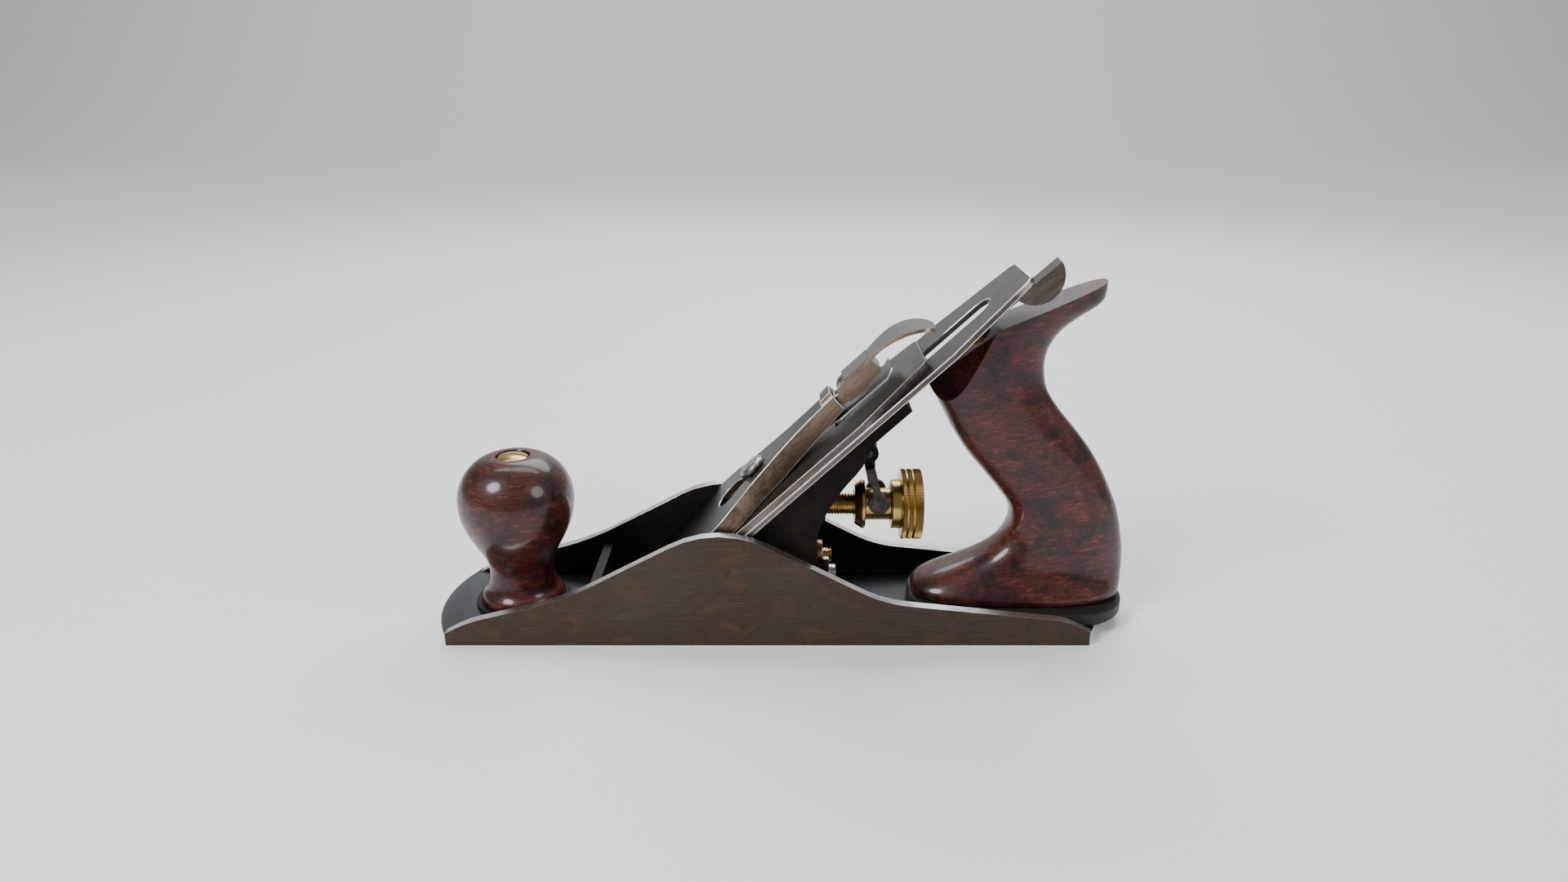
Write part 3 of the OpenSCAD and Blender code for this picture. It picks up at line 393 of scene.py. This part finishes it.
def finish(name):
    """Each finish is made once, the first time a piece asks for it."""
    metal = bpy.context.scene.plane_metal
    makers = {
        "knob_wood": lambda n: varnished_wood(n, (0.22, 0.22, 1.5)),
        "handle_wood": lambda n: varnished_wood(n, (0.16, 0.8, 1.25), (0, math.radians(-8), 0)),
        "japan": japanned_iron,
        "frog_japan": lambda n: japanned_iron(n, (0.0065, 0.0050, 0.0042), speckle=0.3,
                                              gloss=0.42, sheen=0.10),
        "plate_japan": lambda n: japanned_iron(n, (0.017, 0.016, 0.015), speckle=0.6, gloss=0.22),
        "sole_floor": lambda n: rubbed_edge(n, (0.105, 0.110, 0.118), dirt=0.5),
        "cheek": worn_cheek,
        "edge": lambda n: rubbed_edge(n, scaled(metal.bright, 0.92), dirt=0.4),
        "arris": lambda n: rubbed_edge(n, tuple(metal.bright), dirt=0.2),
        "flank": lambda n: brushed_steel(n, tuple(metal.flank), stain=0.45, low=0.30, high=0.46),
        "thumb_tab": lambda n: brushed_steel(n, (0.105, 0.088, 0.076), stain=0.5, low=0.3,
                                             high=0.45),
        "ground_sole": lambda n: rubbed_edge(n, (0.36, 0.35, 0.335), dirt=0.7),
        "iron_steel": lambda n: brushed_steel(n, scaled(metal.steel, 0.72), stain=0.5),
        "cap_steel": lambda n: brushed_steel(n, scaled(metal.steel, 0.8), stain=0.4),
        "lever_steel": lambda n: brushed_steel(n, scaled(metal.steel, 0.27), stain=0.3, low=0.28),
        "iron_flank": lambda n: brushed_steel(n, (0.17, 0.143, 0.122), stain=0.4, low=0.3,
                                              high=0.46),
        "cam_steel": lambda n: brushed_steel(n, (0.115, 0.114, 0.115), stain=0.15, low=0.16,
                                             high=0.28, stretch=(0.15, 1.2, 1)),
        "fastener_steel": lambda n: rubbed_edge(n, (0.46, 0.45, 0.43), dirt=0.5),
        "silver_clip": lambda n: rubbed_edge(n, (0.62, 0.61, 0.59), dirt=0.25),
        "spring_steel": lambda n: brushed_steel(n, scaled(metal.steel, 0.8), stain=0.55, low=0.28,
                                                high=0.45),
        "dark_iron": dark_iron,
        "brass": aged_brass,
        "nut_brass": lambda n: aged_brass(n, dull=0.35, low=0.2, high=0.34),
        "floor": floor_paint,
    }
    if name not in FINISHES:
        FINISHES[name] = makers[name](name)
    return FINISHES[name]


# ---- mesh helpers ----------------------------------------------------------


def lay_along_x(bm, verts, foot):
    """Turns what was built up local Z to run along X, its foot at the given point."""
    bmesh.ops.transform(bm, matrix=Matrix.Rotation(math.radians(90), 4, "Y"), verts=verts)
    bmesh.ops.translate(bm, verts=verts, vec=foot)


def new_piece(name, bm, materials, sharp=35):
    """Turns a bmesh into a smooth-shaded object with the given finishes."""
    mesh = bpy.data.meshes.new(name)
    bm.to_mesh(mesh)
    bm.free()
    for polygon in mesh.polygons:
        polygon.use_smooth = True
    mesh.set_sharp_from_angle(angle=math.radians(sharp))
    for item in materials:
        mesh.materials.append(finish(item))
    piece = bpy.data.objects.new(name, mesh)
    bpy.context.scene.collection.objects.link(piece)
    return piece


def soften(piece, width, segments=2, angle=35):
    """Rounds the edges of a piece with a live Bevel."""
    bevel = piece.modifiers.new("Edges", "BEVEL")
    bevel.width = width
    bevel.segments = segments
    bevel.limit_method = "ANGLE"
    bevel.angle_limit = math.radians(angle)
    bevel.harden_normals = True
    bevel.use_clamp_overlap = True
    bevel.miter_outer = "MITER_ARC"
    return bevel


def node_bmesh(node):
    """A clean copy of a frame node's mesh: joined, with its flat areas in one face each."""
    bm = bmesh.new()
    bm.from_mesh(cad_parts[node].data)
    bmesh.ops.remove_doubles(bm, verts=bm.verts, dist=JOIN)
    bmesh.ops.dissolve_degenerate(bm, dist=JOIN / 2, edges=bm.edges)
    bmesh.ops.dissolve_limit(bm, angle_limit=FLAT, use_dissolve_boundaries=False,
                             verts=bm.verts, edges=bm.edges, delimit=set())
    return bm


def place(piece, body, node):
    """The piece rides on a body and stands for a frame node, which is hidden."""
    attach(piece, body)
    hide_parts(node)


def eased(node, body, material, width, segments=2, angle=35, flank=None, arris=None):
    """A frame node's shape with softened edges. Sides and edges may have their own finish."""
    bm = node_bmesh(node)
    bm.normal_update()
    for face in bm.faces:
        face.material_index = 1 if abs(face.normal.y) > FLANK_FACING else 0
    finishes = [material, flank or material, arris or material]
    piece = new_piece(f"{node}_finished", bm, finishes, angle)
    bevel = soften(piece, width, segments, angle)
    if arris:
        bevel.material = 2
    place(piece, body, node)


def dress(material, *nodes):
    """Gives frame nodes that keep their own mesh a finish."""
    for node in nodes:
        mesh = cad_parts[node].data
        mesh.materials.clear()
        mesh.materials.append(finish(material))


def outline_edges(bm, points):
    """A chain of edges through (radius, height) points in millimetres, in the XZ plane."""
    verts = [bm.verts.new((radius * MM, 0, height * MM)) for radius, height in points]
    for a, b in zip(verts, verts[1:]):
        bm.edges.new((a, b))
    return verts


def lathe(points, steps):
    """A bmesh turned about local Z from points that start and end on the axis."""
    bm = bmesh.new()
    outline_edges(bm, points)
    bmesh.ops.spin(bm, geom=bm.verts[:] + bm.edges[:], axis=(0, 0, 1), cent=(0, 0, 0),
                   angle=math.tau, steps=steps, use_merge=True)
    bmesh.ops.remove_doubles(bm, verts=bm.verts, dist=1e-7)
    bmesh.ops.recalc_face_normals(bm, faces=bm.faces)
    return bm


def bezier(a, b, c, d, steps):
    """Points of one cubic curve, its end left out."""
    points = []
    for i in range(steps):
        t = i / steps
        u = 1 - t
        points.append(tuple(u**3 * p + 3 * u * u * t * q + 3 * u * t * t * r + t**3 * s
                            for p, q, r, s in zip(a, b, c, d)))
    return points


def curve_through(rows, steps):
    """Rows of numbers on a smooth curve through the given rows."""
    smooth = []
    last = len(rows) - 1
    for i in range(last):
        near = [rows[max(i - 1, 0)], rows[i], rows[i + 1], rows[min(i + 2, last)]]
        for k in range(steps):
            u = k / steps
            smooth.append(tuple(
                0.5 * (2 * q + (r - p) * u + (2 * p - 5 * q + 4 * r - s) * u * u
                       + (3 * q - p - 3 * r + s) * u**3)
                for p, q, r, s in zip(*near)))
    return smooth + [rows[-1]]


# ---- body ------------------------------------------------------------------


class PLANE_OT_casting(bpy.types.Operator):
    """Body casting with worn cheeks, bright edges, black inside and ground sole"""

    bl_idname = "plane.casting"
    bl_label = "Body casting"

    SLOTS = ("cheek", "edge", "japan", "ground_sole", "sole_floor")
    CHEEK = 3.9 * MM
    SOLE = 4.5 * MM
    # Faces this far inside a surface still belong to it.
    SKIN = 0.2 * MM
    # A face of the sole's thickness past this distance is the toe or the heel.
    ENDS = 0.1

    def finish_of(self, face, half_width):
        """Index of the finish that a face of the casting takes."""
        middle = face.calc_center_median()
        normal = face.normal
        outside = abs(middle.y) > half_width - self.SKIN and abs(normal.y) > 0.8
        if normal.z < -0.9 and middle.z < self.SKIN:
            return self.SLOTS.index("ground_sole")
        if outside:
            return self.SLOTS.index("cheek")
        on_cheek = abs(middle.y) > half_width - self.CHEEK - self.SKIN / 2
        if on_cheek and normal.z > 0.2 and middle.z > self.SOLE + 0.3 * MM:
            return self.SLOTS.index("edge")
        if normal.z > 0.9 and abs(middle.z - self.SOLE) < 0.3 * MM:
            return self.SLOTS.index("sole_floor")
        if abs(normal.x) > 0.5 and middle.z < self.SOLE and abs(middle.x) > self.ENDS:
            return self.SLOTS.index("edge")
        return self.SLOTS.index("japan")

    def execute(self, context):
        bm = node_bmesh("body_casting")
        bm.normal_update()
        half_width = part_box("body_casting")[1].y
        for face in bm.faces:
            face.material_index = self.finish_of(face, half_width)
        piece = new_piece("casting_finished", bm, self.SLOTS)
        soften(piece, context.scene.plane_metal.casting_edge, 3)
        place(piece, "body", "body_casting")
        return {"FINISHED"}


class PLANE_OT_knob(bpy.types.Operator):
    """Turned front knob with its rod and slotted brass nut"""

    bl_idname = "plane.knob"
    bl_label = "Front knob"

    # Millimetres, heights from the underside of the knob.
    FOOT_R = 14.8
    WAIST = (12.4, 17.6)
    WIDEST_Z = 40
    NUT_R = 5.95
    NUT_DEPTH = 3
    STEPS = 128

    def outline(self, r, top):
        """Half of the knob's outline, from the axis under the foot to the floor of the socket."""
        foot, hole, widest = self.FOOT_R, self.NUT_R, (r, self.WIDEST_Z)
        points = [(0, 0.0), (foot - 1.6, 0.0)]
        points += bezier((foot - 0.9, 0.1), (foot + 1.0, 1.2), (foot + 0.5, 4.5),
                         (foot - 1.5, 5.5), 10)
        points += bezier((13.2, 5.9), (11.5, 8.6), (11.0, 14), self.WAIST, 14)
        points += bezier(self.WAIST, (15.2, 24.3), (r, 30), widest, 22)
        points += bezier(widest, (r, 50), (13, top), (hole + 0.5, top), 22)
        points += [(hole + 0.3, top - 0.05), (hole, top - 0.4), (hole, top - self.NUT_DEPTH),
                   (0, top - self.NUT_DEPTH)]
        return points

    def execute(self, context):
        low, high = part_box("front_knob")
        middle = (low + high) / 2
        bm = lathe(self.outline((high.x - low.x) / 2 / MM, (high.z - low.z) / MM), self.STEPS)
        bmesh.ops.translate(bm, verts=bm.verts, vec=(middle.x, middle.y, low.z))
        place(new_piece("knob_turned", bm, ["knob_wood"], 40), "body", "front_knob")
        fine = context.scene.plane_metal.fine_edge
        eased("knob_nut", "body", "nut_brass", fine, angle=40)
        dress("dark_iron", "knob_rod")
        return {"FINISHED"}


class PLANE_OT_handle(bpy.types.Operator):
    """Rear handle with its flat polished top, rod, brass nut and black foot plate"""

    bl_idname = "plane.handle"
    bl_label = "Rear handle"

    # Height above the plate, front, back, half thickness: the shape of the handle from the side.
    LEVELS = (
        (0.0, 54.2, 127.8, 16.2), (1.2, 53.0, 128.6, 17.0), (3.4, 53.0, 129.1, 16.8),
        (6.0, 55.6, 129.4, 15.3), (9.0, 61.6, 129.5, 13.6), (12.0, 69.2, 129.5, 12.5),
        (15.5, 76.6, 129.3, 12.0), (19.5, 82.4, 128.9, 11.8), (24.0, 85.8, 128.0, 11.6),
        (29.0, 87.5, 126.9, 11.5), (34.5, 86.7, 125.3, 11.5), (41.0, 82.2, 122.5, 11.5),
        (48.0, 76.4, 119.0, 11.5), (55.5, 70.1, 114.3, 11.5), (63.0, 65.2, 108.4, 11.4),
        (70.5, 61.2, 102.0, 11.2), (77.5, 57.2, 97.4, 11.0), (84.0, 53.6, 95.8, 10.9),
        (90.0, 50.6, 95.9, 10.8), (95.0, 49.0, 97.8, 10.6), (99.5, 48.2, 101.4, 10.4),
        (103.5, 48.0, 106.6, 10.2), (107.0, 48.0, 112.0, 10.0), (110.5, 48.0, 114.7, 9.8),
        (118.0, 48.0, 115.0, 9.7),
    )
    SIDES = 48
    # Exponent of the outline of one level: 1 is an ellipse, less is squarer.
    SQUARE = 0.72
    # Where the flat top falls away to the iron, and the slope of the flat top.
    BROW = (78, 100.2)
    TOP_SLOPE = math.radians(22.5)
    # The top of the ridge that faces the iron, and the way its two flats face.
    RIDGE = (56.2, 78.9)
    RIDGE_FACING = (-0.671, 0.658, 0.342)
    # Foot and lean of the rod, then the socket of its nut along the rod.
    ROD_X = 110 * MM
    ROD_LEAN = math.radians(22)
    NUT_R = 5.95 * MM
    NUT_FLOOR = 97 * MM
    CUTTER_LEN = 40 * MM

    def ring(self, bm, level, base):
        """One rounded outline of the handle, as a closed loop of edges."""
        height, front, back, half = (value * MM for value in level)
        verts = bmesh.ops.create_circle(bm, cap_ends=False, segments=self.SIDES, radius=1)["verts"]
        for vert in verts:
            along, across = (math.copysign(abs(v) ** self.SQUARE, v) for v in vert.co.xy)
            vert.co = ((front + back) / 2 + (back - front) / 2 * along, half * across,
                       base + height)
        return list({edge for vert in verts for edge in vert.link_edges})

    def sink_nut(self, piece, base):
        """Cuts the socket of the brass nut square to the leaning rod."""
        cutter_bm = bmesh.new()
        bmesh.ops.create_cone(cutter_bm, cap_ends=True, segments=48, radius1=self.NUT_R,
                              radius2=self.NUT_R, depth=self.CUTTER_LEN)
        bmesh.ops.translate(cutter_bm, verts=cutter_bm.verts,
                            vec=(0, 0, self.NUT_FLOOR + self.CUTTER_LEN / 2))
        bmesh.ops.rotate(cutter_bm, verts=cutter_bm.verts,
                         matrix=Matrix.Rotation(-self.ROD_LEAN, 3, "Y"))
        bmesh.ops.translate(cutter_bm, verts=cutter_bm.verts, vec=(self.ROD_X, 0, base))
        cutter = new_piece("nut_cutter", cutter_bm, ["handle_wood"])
        cut = piece.modifiers.new("Nut socket", "BOOLEAN")
        cut.solver = "EXACT"
        cut.operation = "DIFFERENCE"
        cut.object = cutter
        whole = piece.data
        piece.data = bpy.data.meshes.new_from_object(
            piece.evaluated_get(bpy.context.evaluated_depsgraph_get()))
        piece.data.name = piece.name
        piece.modifiers.clear()
        bpy.data.meshes.remove(whole)
        bpy.data.meshes.remove(cutter.data)

    def execute(self, context):
        wood = context.scene.plane_wood
        low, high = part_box("tote")
        bm = bmesh.new()
        rings = [self.ring(bm, level, low.z) for level in curve_through(self.LEVELS, 4)]
        for lower, upper in zip(rings, rings[1:]):
            bmesh.ops.bridge_loops(bm, edges=lower + upper)
        bmesh.ops.holes_fill(bm, edges=rings[0] + rings[-1], sides=0)
        bmesh.ops.recalc_face_normals(bm, faces=bm.faces)
        # the flat top, its fall towards the iron, then the two flats that meet in a ridge
        brow, ridge = (Vector((x * MM, 0, low.z + z * MM)) for x, z in (self.BROW, self.RIDGE))
        cuts = [(brow, (-math.sin(slope), 0, math.cos(slope)))
                for slope in (self.TOP_SLOPE, BED_ANGLE)]
        x, y, z = self.RIDGE_FACING
        cuts += [(ridge, (x, side * y, z)) for side in (-1, 1)]
        for point, facing in cuts:
            bmesh.ops.bisect_plane(bm, geom=bm.verts[:] + bm.edges[:] + bm.faces[:], dist=1e-6,
                                   plane_co=point, plane_no=facing, clear_outer=True)
            rim = [edge for edge in bm.edges if edge.is_boundary]
            bmesh.ops.holes_fill(bm, edges=rim, sides=0)
        piece = new_piece("handle_shaped", bm, ["handle_wood"], 38)
        self.sink_nut(piece, low.z)
        soften(piece, wood.arris, 3, 38)
        place(piece, "body", "tote")
        fine = context.scene.plane_metal.fine_edge
        eased("tote_nut", "body", "nut_brass", fine, angle=40)
        eased("tote_plate", "body", "plate_japan", 0.8 * MM, segments=3)
        dress("dark_iron", "tote_rod")
        return {"FINISHED"}


# ---- frog and adjusters ----------------------------------------------------


class PLANE_OT_frog(bpy.types.Operator):
    """Black frog with its screws, washers, clip and pins"""

    bl_idname = "plane.frog"
    bl_label = "Frog"

    def execute(self, context):
        fine = context.scene.plane_metal.fine_edge
        eased("frog", "frog", "frog_japan", 0.5 * MM)
        eased("frog_screws", "body", "fastener_steel", fine)
        eased("frog_screw_washers", "body", "fastener_steel", fine)
        eased("frog_clip", "frog", "silver_clip", fine)
        eased("frog_clip_screws", "frog", "silver_clip", fine)
        eased("frog_adjusting_screw", "frog_adjuster", "nut_brass", fine)
        dress("dark_iron", "y_lever_pin")
        dress("fastener_steel", "lateral_lever_rivet")
        return {"FINISHED"}


class PLANE_OT_depth_adjuster(bpy.types.Operator):
    """Threaded stud, knurled wheel and yoke of the depth adjuster"""

    bl_idname = "plane.depth_adjuster"
    bl_label = "Depth adjuster"

    # Millimetres. The stud's thread: pitch, depth, and how much it stays inside the CAD's stud.
    PITCH = 1.06
    THREAD_DEPTH = 0.45
    THREAD_SHY = 0.06
    TURN_STEPS = 24
    # The wheel: radii of its bore, neck and flange; start and end of each band of teeth.
    BORE = 4.91
    NECK = 5.75
    FLANGE = 8.85
    BANDS = ((16.7, 18.2), (18.8, 20.4), (21.0, 23.8))
    TEETH = 150
    TOOTH_DEPTH = 0.24

    def stud(self):
        """A screw thread wound along X inside the stud's own size."""
        low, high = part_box("depth_stud")
        foot = (low.x, 0, (low.z + high.z) / 2)
        crest = (high.z - low.z) / 2 / MM - self.THREAD_SHY
        root = crest + self.THREAD_SHY - self.THREAD_DEPTH
        pitch = self.PITCH
        turns = int((high.x - low.x) / (pitch * MM)) - 1
        bm = bmesh.new()
        outline_edges(bm, [(root, 0.0), (crest, 0.36 * pitch), (crest, 0.5 * pitch),
                           (root, 0.86 * pitch), (root, pitch)])
        bmesh.ops.spin(bm, geom=bm.verts[:] + bm.edges[:], axis=(0, 0, 1), cent=(0, 0, 0),
                       dvec=(0, 0, pitch * MM / self.TURN_STEPS), angle=math.tau * turns,
                       steps=self.TURN_STEPS * turns)
        bmesh.ops.remove_doubles(bm, verts=bm.verts, dist=1e-6)
        lay_along_x(bm, bm.verts[:], foot)
        core = bmesh.ops.create_cone(bm, cap_ends=True, segments=48, radius1=root * MM,
                                     radius2=root * MM, depth=high.x - low.x)["verts"]
        lay_along_x(bm, core, ((low.x + high.x) / 2, 0, foot[2]))
        bmesh.ops.recalc_face_normals(bm, faces=bm.faces)
        piece = new_piece("depth_stud_thread", bm, ["brass"], 30)
        place(piece, "frog", "depth_stud")

    def wheel_outline(self, r, back):
        """Closed outline of half the wheel, from the front of the bore round to it again."""
        bore, neck, flange = self.BORE, self.NECK, self.FLANGE
        points = [
            (bore, 0), (7.0, 0), (7.4, 0.3), (flange - 0.3, 2.2), (flange, 2.5), (flange, 3.4),
            (flange - 0.3, 3.7), (neck + 0.3, 3.7), (neck, 4.0), (neck, 12.8), (neck + 0.3, 13.1),
            (flange - 0.3, 13.1), (flange, 13.4), (flange, 16.3), (flange + 0.2, 16.5),
            (r - 0.9, 16.5),
        ]
        for start, end in self.BANDS:
            points += [(r - 0.55, start - 0.1), (r - 0.1, start + 0.15), (r - 0.1, end - 0.15),
                       (r - 0.55, end + 0.1)]
        points += [
            (r - 0.9, back - 0.3), (r - 2.6, back), (r - 3.3, back - 0.4), (r - 3.6, back - 1.1),
            (7.4, back - 1.1), (6.7, back - 0.7), (6.4, back), (bore, back),
        ]
        return points

    def wheel(self):
        """The turned wheel, its three bands cut into fine teeth."""
        low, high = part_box("depth_wheel")
        r = (high.z - low.z) / 2
        bm = bmesh.new()
        verts = outline_edges(bm, self.wheel_outline(r / MM, (high.x - low.x) / MM))
        bm.edges.new((verts[-1], verts[0]))
        steps = self.TEETH * 2
        bmesh.ops.spin(bm, geom=bm.verts[:] + bm.edges[:], axis=(0, 0, 1), cent=(0, 0, 0),
                       angle=math.tau, steps=steps, use_merge=True)
        bmesh.ops.remove_doubles(bm, verts=bm.verts, dist=1e-7)
        for vert in bm.verts:
            radius = math.hypot(vert.co.x, vert.co.y)
            step = round(math.atan2(vert.co.y, vert.co.x) / math.tau * steps)
            if radius > r - 0.2 * MM and step % 2:
                vert.co.xy *= (radius - self.TOOTH_DEPTH * MM) / radius
        lay_along_x(bm, bm.verts[:], (low.x, 0, (low.z + high.z) / 2))
        bmesh.ops.recalc_face_normals(bm, faces=bm.faces)
        piece = new_piece("depth_wheel_knurled", bm, ["brass"], 25)
        place(piece, "wheel", "depth_wheel")

    def execute(self, context):
        self.stud()
        self.wheel()
        dress("brass", "depth_wheel_bush")
        eased("y_lever", "yoke", "dark_iron", 0.5 * MM, segments=3)
        return {"FINISHED"}


class PLANE_OT_lateral_lever(bpy.types.Operator):
    """Lateral lever with its rivets and roller"""

    bl_idname = "plane.lateral_lever"
    bl_label = "Lateral lever"

    def execute(self, context):
        fine = context.scene.plane_metal.fine_edge
        eased("lateral_lever", "lateral_adjuster", "thumb_tab", 0.35 * MM,
              segments=3)
        eased("lateral_roller", "roller", "fastener_steel", fine)
        dress("fastener_steel", "lateral_roller_rivet")
        return {"FINISHED"}


# ---- irons and lever cap ---------------------------------------------------


class PLANE_OT_irons(bpy.types.Operator):
    """Cutting iron and cap iron with the screw that joins them"""

    bl_idname = "plane.irons"
    bl_label = "Irons"

    def execute(self, context):
        fine = context.scene.plane_metal.fine_edge
        eased("cutting_iron", "iron_set", "iron_steel", 0.4 * MM, angle=50,
              flank="iron_flank", arris="arris")
        eased("cap_iron", "iron_set", "cap_steel", 0.45 * MM, segments=3, angle=40,
              flank="iron_flank", arris="arris")
        eased("cap_iron_screw", "iron_set", "fastener_steel", fine)
        return {"FINISHED"}


class PLANE_OT_lever_cap(bpy.types.Operator):
    """Lever cap with its screw, leaf spring, rivet, pin and cam lever"""

    bl_idname = "plane.lever_cap"
    bl_label = "Lever cap"

    def execute(self, context):
        fine = context.scene.plane_metal.fine_edge
        eased("lever_cap", "lever_cap", "lever_steel", 0.6 * MM, segments=3,
              angle=40, flank="flank", arris="arris")
        eased("lever_cap_screw", "frog", "fastener_steel", fine)
        eased("leaf_spring", "lever_cap", "spring_steel", 0.12 * MM, flank="arris")
        dress("fastener_steel", "leaf_spring_rivet")
        dress("flank", "cam_pin")
        eased("cam_lever", "cam", "cam_steel", 0.4 * MM, segments=3,
              flank="flank", arris="arris")
        return {"FINISHED"}


# ---- stage -----------------------------------------------------------------


class PLANE_OT_stage(bpy.types.Operator):
    """Pale floor, soft studio lights and the camera"""

    bl_idname = "plane.stage"
    bl_label = "Stage"

    # Camera: height, offset to the heel, tilt down.
    HEIGHT = 0.1895
    SIDE = 0.0058
    PITCH = math.radians(18.93)
    # Name, place, aim, size, power and colour of each light.
    LIGHTS = (
        ("key", (-0.62, -0.50, 0.80), (0, 0, 0.04), (0.42, 0.42), 11, (1, 1, 1)),
        ("fill", (0.80, -0.45, 0.62), (0, 0, 0.05), (0.5, 0.5), 4.5, (0.93, 0.96, 1)),
        ("back", (0.15, 0.75, 0.85), (0, 0, 0.06), (1.1, 0.5), 9, (0.92, 0.95, 1)),
        ("wall", (0, 0.9, 2.6), (0, 3.0, 0.6), (3.0, 1.5), 60, (1, 1, 1)),
    )
    SKY = (0.9, 0.93, 1.0, 1)
    SKY_STRENGTH = 0.24
    # Floor and wall: radius of the curve, where it starts, front end, half width, wall height.
    CURVE, WALL_Y, FRONT_Y, HALF, WALL_UP = 1.2, 2.2, -4.0, 5.0, 3

    def backdrop(self):
        """Floor that curves up into a wall far behind the plane, one seamless sheet."""
        turn = Vector((-self.HALF, self.WALL_Y, self.CURVE))
        bm = bmesh.new()
        start = bm.verts.new((-self.HALF, self.FRONT_Y, 0))
        foot = bm.verts.new((-self.HALF, self.WALL_Y, 0))
        bm.edges.new((start, foot))
        bmesh.ops.spin(bm, geom=[foot], axis=(1, 0, 0), cent=turn, angle=math.radians(90),
                       steps=24)
        bm.verts.ensure_lookup_table()
        top = max(bm.verts, key=lambda vert: vert.co.z + vert.co.y)
        crown = bm.verts.new(top.co + Vector((0, 0, self.WALL_UP)))
        bm.edges.new((top, crown))
        strip = bmesh.ops.extrude_edge_only(bm, edges=bm.edges[:])["geom"]
        far_side = [item for item in strip if isinstance(item, bmesh.types.BMVert)]
        bmesh.ops.translate(bm, verts=far_side, vec=(2 * self.HALF, 0, 0))
        bmesh.ops.remove_doubles(bm, verts=bm.verts, dist=1e-5)
        bmesh.ops.recalc_face_normals(bm, faces=bm.faces)
        floor = max(bm.faces, key=lambda face: face.calc_area())
        if floor.normal.z < 0:
            bmesh.ops.reverse_faces(bm, faces=bm.faces[:])
        return new_piece("backdrop", bm, ["floor"], 60)

    def light(self, name, place_at, aim, size, power, colour):
        data = bpy.data.lights.new(name, "AREA")
        data.shape = "ELLIPSE"
        data.size, data.size_y = size
        data.energy = power
        data.color = colour
        lamp = bpy.data.objects.new(name, data)
        bpy.context.scene.collection.objects.link(lamp)
        turn = (Vector(aim) - Vector(place_at)).to_track_quat("-Z", "Y")
        lamp.matrix_world = Matrix.Translation(place_at) @ turn.to_matrix().to_4x4()

    def execute(self, context):
        stage = context.scene.plane_stage
        self.backdrop()
        for row in self.LIGHTS:
            self.light(*row)
        world = bpy.data.worlds.new("studio")
        world.use_nodes = True
        background = world.node_tree.nodes["Background"]
        background.inputs["Color"].default_value = self.SKY
        background.inputs["Strength"].default_value = self.SKY_STRENGTH
        context.scene.world = world
        camera_data = bpy.data.cameras.new("camera")
        camera_data.sensor_width = 36
        camera_data.lens = stage.lens
        camera_data.clip_start = 0.01
        camera = bpy.data.objects.new("camera", camera_data)
        context.scene.collection.objects.link(camera)
        camera.matrix_world = (Matrix.Translation((self.SIDE, -stage.distance, self.HEIGHT))
                               @ Matrix.Rotation(math.radians(90) - self.PITCH, 4, "X"))
        context.scene.camera = camera
        return {"FINISHED"}


# ---- panel and run ---------------------------------------------------------


STEPS = (
    PLANE_OT_casting, PLANE_OT_knob, PLANE_OT_handle, PLANE_OT_frog, PLANE_OT_depth_adjuster,
    PLANE_OT_lateral_lever, PLANE_OT_irons, PLANE_OT_lever_cap, PLANE_OT_stage,
)


class PLANE_PT_panel(bpy.types.Panel):
    """Sizes, colours and steps of the hand plane"""

    bl_idname = "PLANE_PT_panel"
    bl_label = "Hand plane"
    bl_space_type = "VIEW_3D"
    bl_region_type = "UI"
    bl_category = "Hand plane"

    def draw(self, context):
        scene = context.scene
        for group in (scene.plane_wood, scene.plane_metal, scene.plane_stage):
            for name in group.__annotations__:
                self.layout.prop(group, name)
        for step in STEPS:
            self.layout.operator(step.bl_idname)


CLASSES = (PLANE_PG_wood, PLANE_PG_metal, PLANE_PG_stage, *STEPS, PLANE_PT_panel)


def register():
    for cls in CLASSES:
        bpy.utils.register_class(cls)
    bpy.types.Scene.plane_wood = bpy.props.PointerProperty(type=PLANE_PG_wood)
    bpy.types.Scene.plane_metal = bpy.props.PointerProperty(type=PLANE_PG_metal)
    bpy.types.Scene.plane_stage = bpy.props.PointerProperty(type=PLANE_PG_stage)


def unregister():
    del bpy.types.Scene.plane_stage
    del bpy.types.Scene.plane_metal
    del bpy.types.Scene.plane_wood
    for cls in reversed(CLASSES):
        bpy.utils.unregister_class(cls)


def main():
    register()
    for step in STEPS:
        group, name = step.bl_idname.split(".")
        getattr(getattr(bpy.ops, group), name)()
    bpy.context.view_layer.update()


if __name__ == "__main__":
    main()
